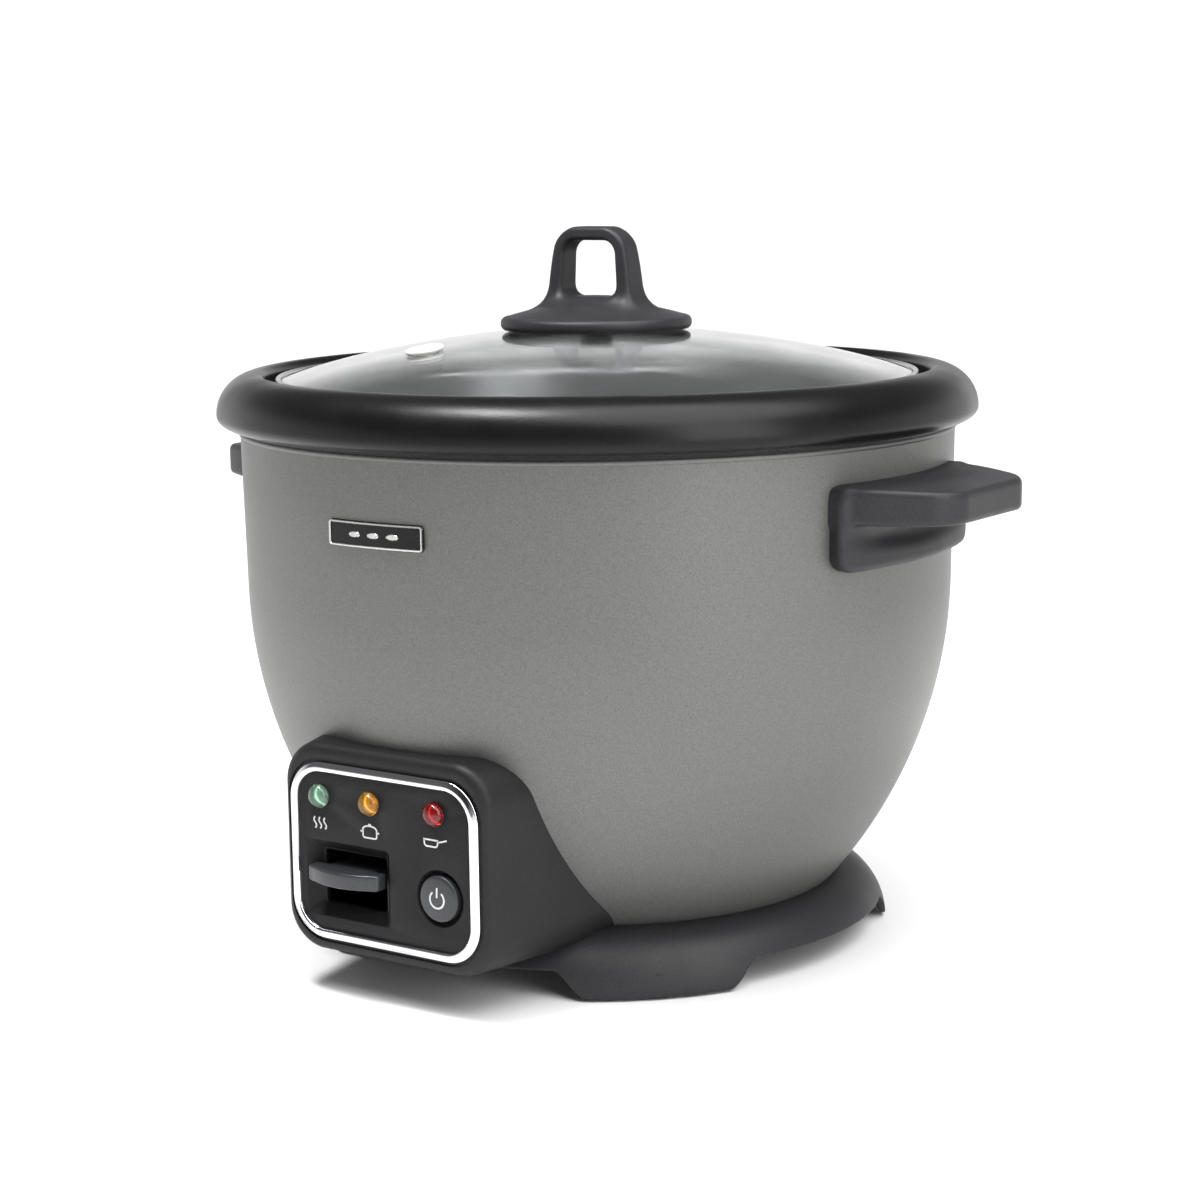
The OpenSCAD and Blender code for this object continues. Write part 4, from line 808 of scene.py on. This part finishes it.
# ---- handles and badge
def make_handle(name, node, side):
    """Pad on the shell and a flat-topped grip with a finger groove below it, moulded in one."""
    pad_h = handle_hi.z - handle_lo.z
    pad_z = (handle_lo.z + handle_hi.z) / 2
    half_w = handle_hi.y
    top_z = handle_hi.z
    reach = handle_hi.x + 1.0 * MM
    edge_half = 27 * MM

    def field(x, y, z):
        proud = np.hypot(x, y) - BODY_R
        along = np.arctan2(y, x) * BODY_R
        pad = slab(round_box(along, z - pad_z, half_w - 0.3 * MM, pad_h / 2, 6 * MM),
                   np.abs(proud + 3 * MM) - 8.6 * MM, 2.4 * MM)
        # plan of the grip: sides that draw in towards a straight outer edge
        out = np.clip((x - (BODY_R - 12 * MM)) / (reach - BODY_R + 12 * MM), 0, 1)
        side_y = half_w - 0.4 * MM - (half_w - edge_half) * out ** 1.6
        plan = slab(x - reach, np.abs(y) - side_y, 8 * MM)
        # the flat top falls a little towards the edge, the underside rises to it
        high = top_z - 0.2 * MM - 1.6 * MM * out ** 2
        low = top_z - 13.4 * MM + 0.6 * MM * out
        mid, thick = (high + low) / 2, (high - low) / 2
        grip = slab(plan, np.abs(z - mid) - thick, 2.2 * MM)
        grip = np.maximum(grip, BODY_R - 12 * MM - x)
        body = blend(grip, pad, 2.4 * MM)
        # groove for the fingers under the grip
        hollow = (np.sqrt((along / (half_w - 3 * MM)) ** 2 + ((z - pad_z + 2.5 * MM) / (6 * MM)) ** 2
                          + ((proud - 8.5 * MM) / (6.0 * MM)) ** 2) - 1) * 5 * MM
        hollow = np.maximum(hollow, z - low)
        body = carve(body, hollow, 2.0 * MM)
        return np.maximum(body, shell_field(x, y, z) - 1.2 * MM)

    lo = (BODY_R * math.cos(0.36) - 10 * MM, -half_w - 4 * MM, handle_lo.z - 3 * MM)
    hi = (reach + 3 * MM, half_w + 4 * MM, handle_hi.z + 3 * MM)
    handle = surface(name, field, lo, hi, 0.75 * MM)
    if side < 0:
        handle.data.transform(Matrix.Rotation(math.pi, 4, "Z"))
    return place(handle, node)


def shell_field(x, y, z):
    """Distance inwards from the shell's outer surface: negative outside it."""
    low = np.clip(z, BASE_H, BOWL_Z)
    bowl = BOWL_C + np.sqrt(BOWL_R ** 2 - (BOWL_Z - low) ** 2)
    wall = BODY_R - WALL_DRAFT * (SHELL_TOP - z) / (SHELL_TOP - BOWL_Z)
    return np.where(z < BOWL_Z, bowl, wall) - np.hypot(x, y)


def bend(obj, radius):
    """Wraps a flat piece, its face towards -Y and y = 0 on the surface, around the shell."""
    for v in obj.data.vertices:
        x, y, z = v.co
        a = x / radius
        r = radius - y
        v.co = (r * math.sin(a), -r * math.cos(a), z)
    return obj


def grid_plate(name, outline_w, outline_h, corner, y0, y1, z, inset=0.5 * MM):
    """Rounded plate with a softened front edge, cut in columns so that it can be bent."""
    columns = 41
    sections = []
    for i in range(columns):
        x = -outline_w / 2 + outline_w * i / (columns - 1)
        off = max(abs(x) - (outline_w / 2 - corner), 0)
        half = outline_h / 2 - corner + math.sqrt(max(corner ** 2 - off ** 2, (0.05 * MM) ** 2))
        sections.append([(x, y0, z - half), (x, y1 + inset, z - half), (x, y1, z - half + inset),
                         (x, y1, z + half - inset), (x, y1 + inset, z + half), (x, y0, z + half)])
    return loft(name, sections, 30)


def make_badge():
    """Blank black plate in a bright raised frame, with three plain grains on it."""
    z = (badge_lo.z + badge_hi.z) / 2
    w = badge_hi.x - badge_lo.x
    h = badge_hi.z - badge_lo.z
    radius = shell_r(z)
    plate = grid_plate("badge", w, h, 1.2 * MM, 0.4 * MM, -1.1 * MM, z)
    bend(plate, radius)
    place(plate, "badge_plate")
    rim = ring_band("badge_frame", w, h, 1.4 * MM, z, [
        (0.15, -0.9), (0.3, -1.45), (0.75, -1.5), (0.95, -1.25), (0.95, -0.9)])
    bend(rim, radius)
    detail(rim, "cooker", "steel", "print_silver")
    grains = []
    for x in (-8, 0, 8):
        outline = [(2.6 * MM * math.cos(a), 1.15 * MM * math.sin(a))
                   for a in (2 * math.pi * k / 32 for k in range(32))]
        outer = [(x * MM + p, -1.0 * MM, z + q) for p, q in outline]
        inner = [(x * MM + p * 0.8, -1.4 * MM, z + q * 0.7) for p, q in outline]
        grains.append(loft("grain", [outer, inner]))
    detail(bend(join("badge_grains", grains), radius), "cooker", "steel", "print_silver")


def ring_band(name, w, h, corner, z, profile, columns=6):
    """Closed band that follows a rounded rectangle across Y. The profile's points are
    (distance in from the outline, y), in millimetres."""
    verts = []
    for inset, y in profile:
        d = inset * MM
        outline = spread(rounded_rect(w - 2 * d, h - 2 * d, max(corner - d, 0.05 * MM), 10), columns)
        verts += [(p, y * MM, z + q) for p, q in outline]
    return mesh_object(name, verts, band_faces(len(profile), len(outline)), 30)


def spread(outline, columns):
    """Adds points along the straight sides of a rounded rectangle."""
    made = []
    quarter = len(outline) // 4
    for k, point in enumerate(outline):
        made.append(point)
        if (k + 1) % quarter == 0:
            nxt = outline[(k + 1) % len(outline)]
            made += [(point[0] + (nxt[0] - point[0]) * i / columns,
                      point[1] + (nxt[1] - point[1]) * i / columns) for i in range(1, columns)]
    return made


# ---- control housing
def housing_field(x, y, z, shrink):
    """Housing grown inwards by shrink: a rounded front face and sides that flare to the shell."""
    back = y - FACE_Y
    half_w = (housing_face_w / 2) + np.tan(math.radians(11)) * back
    half_h = (housing_face_h + 5 * MM * np.clip(back / housing_depth, 0, 1.4)) / 2
    mid = housing_mid_z + 2.5 * MM * np.clip(back / housing_depth, 0, 1.4)
    flat = round_box(x, z - mid, half_w, half_h, 15 * MM) + shrink
    return slab(flat, FACE_Y - y + shrink, 3.4 * MM if shrink == 0 else 1.5 * MM)


def base_field(x, y, z):
    """Negative inside the base's flared form."""
    r = np.hypot(x, y)
    s = np.clip((z - base_lo.z) / (BASE_H - base_lo.z), 0, 1)
    skirt = WAIST_R + (base_hi.x - WAIST_R) * np.sqrt(1 - s ** 2)
    return np.maximum((r - skirt) * 0.75, z - BASE_H)


def make_housing():
    def field(x, y, z):
        body = housing_field(x, y, z, 0)
        hollow = housing_field(x, y, z, 2.5 * MM)
        body = np.maximum(body, -hollow)
        body = np.maximum(body, shell_field(x, y, z) - 2.5 * MM)
        return np.maximum(body, -base_field(x, y, z) - 1.8 * MM)

    lo = (housing_lo.x - 2 * MM, FACE_Y - 2 * MM, housing_lo.z - 2 * MM)
    hi = (housing_hi.x + 2 * MM, housing_hi.y + 4 * MM, housing_hi.z + 3 * MM)
    housing = surface("housing", field, lo, hi, 0.85 * MM)
    groove = across("groove", rounded_rect(TRIM_W + 2.6 * MM, TRIM_H + 2.6 * MM, 15.3 * MM, 10),
                    FACE_Y - 3 * MM, FACE_Y + 0.8 * MM, TRIM_Z)
    opening = across("opening", rounded_rect(PANEL_W - 3.2 * MM, PANEL_H - 3.2 * MM, 9.4 * MM, 10),
                     FACE_Y - 3 * MM, FACE_Y + 9 * MM, TRIM_Z)
    seat = across("seat", rounded_rect(PANEL_W + 0.3 * MM, PANEL_H + 0.3 * MM, 11 * MM, 10),
                  FACE_Y - 3 * MM, FACE_Y + PANEL_T, TRIM_Z)
    cut(housing, groove, seat, opening)
    shade(housing, 35)
    return paint(place(housing, "control_housing"), "housing_plastic")


def make_trim():
    """Plated band with a bevelled, slightly crowned section."""
    t = (FACE_Y - trim_lo.y) / MM
    profile = [(0.0, 0.75), (0.0, -0.25), (0.1, -0.5), (0.5, -0.75), (1.0, -t + 0.62), (1.35, -t + 0.22),
               (1.7, -t + 0.04), (2.0, -t), (2.6, -t + 0.03), (2.95, -t + 0.16), (3.25, -t + 0.45),
               (3.45, -t + 0.9), (3.6, -0.15), (3.6, 0.75)]
    corner = 14 * MM
    verts = []
    for inset, y in profile:
        d = inset * MM
        outline = rounded_rect(TRIM_W - 2 * d, TRIM_H - 2 * d, corner - d, 16)
        verts += [(p, FACE_Y + y * MM, TRIM_Z + q) for p, q in outline]
    trim = mesh_object("trim_band", verts, band_faces(len(profile), len(outline)), 50)
    return place(trim, "panel_trim")


def frustum_y(name, outline_front, outline_back, y0, y1, x, z):
    return loft(name, [[(x + p, y0, z + q) for p, q in outline_front],
                       [(x + p, y1, z + q) for p, q in outline_back]])


def make_panel():
    """Panel with a sloped recess for the lever, a dished seat for the button and lamp holes."""
    rim = BUTTON_R + 1.85 * MM
    panel = across("panel", rounded_rect(PANEL_W, PANEL_H, 11 * MM, 12), FACE_Y, FACE_Y + PANEL_T, TRIM_Z)
    tray_w, tray_h = RECESS_W + 3.4 * MM, RECESS_H + 3.4 * MM
    tray = across("tray", rounded_rect(tray_w, tray_h, 1.2 * MM, 3), FACE_Y + 1 * MM,
                  FACE_Y + RECESS_DEPTH + 2 * MM, RECESS_Z, LEVER_X)
    tray_stop = across("stop", rounded_rect(PANEL_W - 3.6 * MM, PANEL_H - 3.6 * MM, 9.4 * MM, 8),
                       FACE_Y, FACE_Y + 20 * MM, TRIM_Z)
    combine(tray, tray_stop, "INTERSECT")
    collar = cylinder_y("collar", BUTTON_X, BUTTON_Z, rim, FACE_Y + 1 * MM, FACE_Y + 9 * MM)
    add(panel, tray, collar)
    mouth = rounded_rect(RECESS_W + 2.2 * MM, RECESS_H + 2.4 * MM, 1.8 * MM, 4)
    bottom = rounded_rect(28.4 * MM, SLOT_H + 0.4 * MM, 1.0 * MM, 4)
    recess = frustum_y("recess", mouth, bottom, FACE_Y - 0.01 * MM, FACE_Y + RECESS_DEPTH,
                       LEVER_X, RECESS_Z)
    slot = across("slot", rounded_rect(27 * MM, SLOT_H, 0.8 * MM, 3), FACE_Y + 2 * MM,
                  FACE_Y + 20 * MM, SLOT_Z, LEVER_X)
    bore = cylinder_y("bore", BUTTON_X, BUTTON_Z, BUTTON_R + 0.3 * MM, FACE_Y - 1 * MM,
                      FACE_Y + 12 * MM, 96)
    slope = [(2.0, -0.2), (1.7, 0.3), (0.9, 1.3), (0.5, 2.2)]
    dish = lathe("dish", [(0, -0.2 * MM)] + [(BUTTON_R + out * MM, deep * MM) for out, deep in slope]
                 + [(0, 2.2 * MM)], 96)
    dish.data.transform(on_face(BUTTON_X, BUTTON_Z, -math.pi / 2))
    cut(panel, recess, slot, dish, bore)
    for x in LAMP_XS:
        cut(panel, cylinder_y("lens_hole", x, LAMP_Z, 3.6 * MM, FACE_Y - 1 * MM, FACE_Y + 8 * MM, 48))
    soften(panel, 0.3 * MM, 2, 30, 35)
    return place(panel, "control_panel")


def make_board_posts():
    """Posts behind the panel, halfway between the lamps, that carry the board."""
    posts = [cylinder_y("post", (a + b) / 2, LAMP_Z, 2.2 * MM, FACE_Y + 1 * MM, board_lo.y, 24)
             for a, b in zip(LAMP_XS, LAMP_XS[1:])]
    return detail(join("board_posts", posts), "cooker", NODE_SLOT["control_panel"])


def make_lever():
    """Paddle with a bowed front, rounded edges and a neck through the slot."""
    half, neck = (paddle_hi.x - paddle_lo.x) / 2, 10 * MM
    front, root = paddle_lo.y, FACE_Y + 2 * MM
    bow = 3.2 * MM
    corner = 2.2 * MM
    edge = [(x / 20 * (half - corner), front + bow * (x / 20) ** 2) for x in range(-20, 21)]
    side_y = edge[-1][1]
    right = arc(half - corner, side_y + corner, corner, corner, -80, 0, 6)
    left = [(-x, y) for x, y in reversed(right)]
    outline = left + edge[1:-1] + right + [(half, root), (neck, root), (neck, paddle_hi.y),
                                           (-neck, paddle_hi.y), (-neck, root), (-half, root)]
    z0, z1 = paddle_lo.z, paddle_hi.z
    paddle = loft("paddle", [[(LEVER_X + x, y, z) for x, y in outline] for z in (z0, z1)])
    pocket = box_object("pocket", (LEVER_X - 6 * MM, paddle_hi.y - 9 * MM, PADDLE_Z - 1 * MM),
                        (LEVER_X + 6 * MM, paddle_hi.y + 1 * MM, PADDLE_Z + 1 * MM))
    cut(paddle, pocket)
    soften(paddle, 0.9 * MM, 4, 40, 50)
    return place(paddle, "cook_lever")


def make_button():
    """Domed cap with a rolled edge and a plain power symbol."""
    r, dome = BUTTON_R, 40 * MM
    front = FACE_Y - button_lo.y
    sag = dome - math.sqrt(dome ** 2 - r ** 2)
    stem_end = button_hi.y - FACE_Y
    spots = [0.86 * r * math.sin(math.pi / 2 * i / 12) for i in range(13)]
    face = [(x, front - (dome - math.sqrt(dome ** 2 - x ** 2))) for x in spots]
    edge = arc(r - 0.9 * MM, front - sag - 0.75 * MM, 0.9 * MM, 0.75 * MM, 75, 0, 6)
    profile = face + edge + [(r, -4 * MM), (3 * MM, -4 * MM), (3 * MM, -stem_end), (0, -stem_end)]
    cap = lathe("button_cap", profile, 96, 30)
    cap.data.transform(on_face(BUTTON_X, BUTTON_Z))
    place(cap, "power_button")

    def on_dome(x, z, lift):
        return (BUTTON_X + x, button_lo.y + dome - math.sqrt(dome ** 2 - x * x - z * z) - lift, BUTTON_Z + z)

    gap, size = 38, 2.95 * MM
    ring = arc(0, 0, size, size, 90 + gap, 450 - gap, 39)
    bar = [(0, 0.7 * MM + 3.4 * MM * i / 6) for i in range(7)]
    marks = [stroke(points, 0.62 * MM, on_dome) for points in (ring, bar)]
    detail(join("power_symbol", marks), "power_button", NODE_SLOT["power_button"], "print_white")


def stroke(points, width, spot):
    """Thin printed line through (x, z) points, laid on a surface by spot(x, z, lift)."""
    p = np.array(points)
    run = np.vstack([p[1:], p[-1:]]) - np.vstack([p[:1], p[:-1]])
    run /= np.linalg.norm(run, axis=1)[:, None]
    side = np.stack([-run[:, 1], run[:, 0]], axis=1) * width / 2
    over, under = 0.05 * MM, -0.03 * MM
    verts = []
    for (x, z), (sx, sz) in zip(p, side):
        for k, lift in ((1, over), (-1, over), (-1, under), (1, under)):
            verts.append(spot(x + k * sx, z + k * sz, lift))
    last = 4 * len(p) - 4
    faces = [(a + k, a + (k + 1) % 4, a + 4 + (k + 1) % 4, a + 4 + k)
             for a in range(0, last, 4) for k in range(4)]
    faces += [(0, 1, 2, 3), (last + 3, last + 2, last + 1, last)]
    return mesh_object("stroke", verts, faces)


def make_symbols():
    """Three plain symbols in place of words: rising heat, a covered pot and a frying pan."""
    def flat(cx):
        return lambda x, z, lift: (cx + x, FACE_Y - lift, SYMBOL_Z + z)

    def mm(points):
        return [(x * MM, z * MM) for x, z in points]

    width = 0.55 * MM
    marks = []
    for x in (-2.2, 0, 2.2):
        wave = [(x + 0.55 * math.sin(2 * math.pi * t / 20), -2.0 + 4.0 * t / 20) for t in range(21)]
        marks.append(stroke(mm(wave), width, flat(LAMP_XS[0])))
    pot = [(-3.0, 0.4), (-3.0, -1.6)] + arc(-2.2, -1.6, 0.8, 0.8, 180, 270, 5) \
        + arc(2.2, -1.6, 0.8, 0.8, 270, 360, 5) + [(3.0, 0.4)]
    lid = [(-3.3, 0.6)] + arc(0, 0.6, 2.9, 1.2, 180, 0, 14) + [(3.3, 0.6)]
    handles = [[(-4.1, -0.3), (-3.0, -0.3)], [(3.0, -0.3), (4.1, -0.3)], [(-0.6, 2.3), (0.6, 2.3)]]
    for points in [pot, lid] + handles:
        marks.append(stroke(mm(points), width, flat(LAMP_XS[1])))
    pan = [(-4.4, 0.7)] + arc(-3.2, -0.5, 1.1, 1.1, 190, 270, 6) + arc(0.2, -0.5, 1.1, 1.1, 270, 350, 6) \
        + [(1.4, 0.7)]
    for points in (pan, [(-4.7, 0.7), (1.7, 0.7)], [(1.5, 0.1), (5.2, 1.2)]):
        marks.append(stroke(mm(points), width, flat(LAMP_XS[2])))
    detail(join("lamp_symbols", marks), "cooker", NODE_SLOT["control_panel"], "print_white")


def make_lens(name, node, x):
    """Thick dome on a hollow stem, over a small bright cup with the lamp in it."""
    r = 4.25 * MM
    wall = 0.9 * MM
    stem = 3.5 * MM
    turn = on_face(x, LAMP_Z)
    high = FACE_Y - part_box(node)[0].y
    dome = (arc(0, 0.3 * MM, r - 0.15 * MM, high - 0.3 * MM, 90, 0, 14)
            + [(r, 0.25 * MM), (r, 0.0), (stem, 0.0), (stem, -5 * MM), (stem - wall, -5 * MM)]
            + arc(0, -1.5 * MM, stem - wall, 1.0 * MM, 0, 90, 10))
    lens = lathe(name, dome, 64, 50)
    lens.data.transform(turn)
    place(lens, node)
    cup = [(1.9 * MM, -4.6 * MM), (2.5 * MM, -2.0 * MM), (2.55 * MM, -2.0 * MM), (2.55 * MM, -4.9 * MM),
           (1.9 * MM, -4.9 * MM)]
    seat = lathe(name + "_cup", cup, 48, 50)
    seat.data.transform(turn)
    detail(seat, "cooker", "steel", "cup_white")
    glow = lathe(name + "_post", [(0, -5.0 * MM), (1.5 * MM, -5.0 * MM), (1.5 * MM, -2.6 * MM)]
                 + arc(0, -2.6 * MM, 1.5 * MM, 1.3 * MM, 0, 90, 8), 32, 50)
    glow.data.transform(turn)
    detail(glow, "cooker", "bulb", "cup_white")


# ---- mains inlet
def make_inlet():
    """Block that fits the shell's curve, with the socket for an appliance plug and its pin holes."""
    w, h = inlet_hi.x - inlet_lo.x, inlet_hi.z - inlet_lo.z
    z = (inlet_lo.z + inlet_hi.z) / 2
    face = inlet_hi.y
    # (depth behind the face, growth, corner radius), in millimetres
    steps = [(13, 3, 6), (1.6, 0, 5), (0.5, -0.8, 4.6), (0, -2.6, 3.8)]
    block = loft("inlet", [
        [(p, face - deep * MM, z + q) for p, q in rounded_rect(w + grow * MM, h + grow * MM, r * MM)]
        for deep, grow, r in steps])
    plug = across("plug", rounded_rect(33.2 * MM, 25.2 * MM, 1 * MM), inlet_lo.y, face - 2 * MM, z)
    floor = BASE_H + 1 * MM
    heights = [BASE_H + (SHELL_TOP - BASE_H) * i / 60 for i in range(61)]
    envelope = lathe("envelope", [(0, floor)] + [(shell_r(t) - 0.5 * MM, max(t, floor)) for t in heights]
                     + [(0, SHELL_TOP)], 192)
    cut(block, envelope)
    add(block, plug)
    inner = rounded_rect(27 * MM, 20 * MM, 3 * MM)
    socket = frustum_y("socket", rounded_rect(28 * MM, 21 * MM, 3.4 * MM), inner,
                       face + 0.05 * MM, face - 1.2 * MM, 0, z)
    well = across("well", inner, face - 16 * MM, face - 1.1 * MM, z)
    cut(block, socket, well)
    for x, dz in ((-7, -3), (7, -3), (0, 4)):
        cut(block, cylinder_y("pin_hole", x * MM, z + dz * MM, 2.02 * MM, inlet_lo.y - 1 * MM,
                              face - 10 * MM, 32))
    shade(block, 35)
    return place(block, "inlet_housing")


# ---- scene
def make_stage():
    far = 60
    floor = mesh_object("floor", [(-far, -far, 0), (far, -far, 0), (far, far, 0), (-far, far, 0)],
                        [(0, 1, 2, 3)])
    m, *_, shader = new_material("floor_pale")
    shader.inputs["Base Color"].default_value = (0.90, 0.90, 0.90, 1)
    shader.inputs["Roughness"].default_value = 0.7
    floor.data.materials.append(m)
    bpy.context.scene.world = studio_world()
    bpy.context.scene.view_settings.view_transform = "Standard"


def studio_world():
    """White round the horizon, dim overhead and dimmer towards the camera, as in a photo studio."""
    towards_camera = (0.57, -0.82, 0)
    world = bpy.data.worlds.new("studio")
    world.use_nodes = True
    nodes, links = world.node_tree.nodes, world.node_tree.links
    place = nodes.new("ShaderNodeTexCoord")
    split = nodes.new("ShaderNodeSeparateXYZ")
    links.new(place.outputs["Generated"], split.inputs["Vector"])
    sky = ramp(nodes, links, split.outputs["Z"], 1.0, 0.13, 0.17, 0.40)
    facing = nodes.new("ShaderNodeVectorMath")
    facing.operation = "DOT_PRODUCT"
    facing.inputs[1].default_value = towards_camera
    links.new(place.outputs["Generated"], facing.inputs[0])
    dim = ramp(nodes, links, facing.outputs["Value"], 1.0, 0.30, 0.05, 0.65)
    horizon = ramp(nodes, links, split.outputs["Z"], 1.0, 0.0, 0.05, 0.14)

    def reckon(operation, a, b):
        node = nodes.new("ShaderNodeMath")
        node.operation = operation
        links.new(a, node.inputs[0])
        links.new(b, node.inputs[1])
        return node.outputs["Value"]

    light = reckon("MULTIPLY", sky, reckon("MAXIMUM", dim, horizon))
    links.new(light, nodes["Background"].inputs["Color"])
    nodes["Background"].inputs["Strength"].default_value = 1.05
    return world


def aim(light, spot, target):
    light.location = spot
    light.rotation_euler = (Vector(target) - Vector(spot)).to_track_quat("-Z", "Y").to_euler()
    bpy.context.scene.collection.objects.link(light)


def area_light(name, spot, target, size, power):
    data = bpy.data.lights.new(name, "AREA")
    data.shape = "RECTANGLE"
    data.size, data.size_y = size
    data.energy = power
    aim(bpy.data.objects.new(name, data), spot, target)


def sun_light(name, spot, strength, spread):
    data = bpy.data.lights.new(name, "SUN")
    data.energy = strength
    data.angle = math.radians(spread)
    aim(bpy.data.objects.new(name, data), spot, (0, 0, 0))


def make_lights():
    centre = (0, 0, 0.12)
    sun_light("key", (0.65, -0.1, 1.9), 3.9, 60)
    area_light("top", (-0.22, -0.35, 1.25), centre, (0.4, 0.25), 14)
    area_light("right", (1.5, -0.5, 0.75), centre, (0.9, 1.1), 14)


def make_camera():
    """The photograph's view: from the front and the right, a little above."""
    distance, height = 0.9655, 0.286
    azimuth, pitch, roll = (math.radians(a) for a in (34.7, 9.64, -0.766))
    data = bpy.data.cameras.new("camera")
    data.lens = 78.2
    data.sensor_width = 36
    cam = bpy.data.objects.new("camera", data)
    right = Vector((math.cos(azimuth), math.sin(azimuth), 0))
    ahead = Vector((-math.sin(azimuth) * math.cos(pitch), math.cos(azimuth) * math.cos(pitch),
                    -math.sin(pitch)))
    up = right.cross(ahead)
    right2 = math.cos(roll) * right + math.sin(roll) * up
    up2 = math.cos(roll) * up - math.sin(roll) * right
    turn = Matrix((right2, up2, -ahead)).transposed()
    cam.matrix_world = Matrix.Translation(
        (math.sin(azimuth) * distance, -math.cos(azimuth) * distance, height)) @ turn.to_4x4()
    bpy.context.scene.collection.objects.link(cam)
    bpy.context.scene.camera = cam


make_camera()
make_stage()
make_lights()
for node, obj in frame["nodes"].items():
    paint(obj, NODE_SLOT[node])
    shade(obj, 30)
make_shell()
make_shell_bead()
make_ring()
finish_base()
make_handle("handle_grip_right", "handle_right", 1)
make_handle("handle_grip_left", "handle_left", -1)
make_badge()
make_housing()
make_panel()
make_board_posts()
make_trim()
make_symbols()
for lens_node, lens_x in zip(LENS_NODES, LAMP_XS):
    make_lens(lens_node + "_dome", lens_node, lens_x)
make_lever()
make_button()
make_inlet()
make_pot()
make_level_marks()
make_glass()
make_lid_rim()
make_steam_vent()
make_knob()
make_knob_stem()
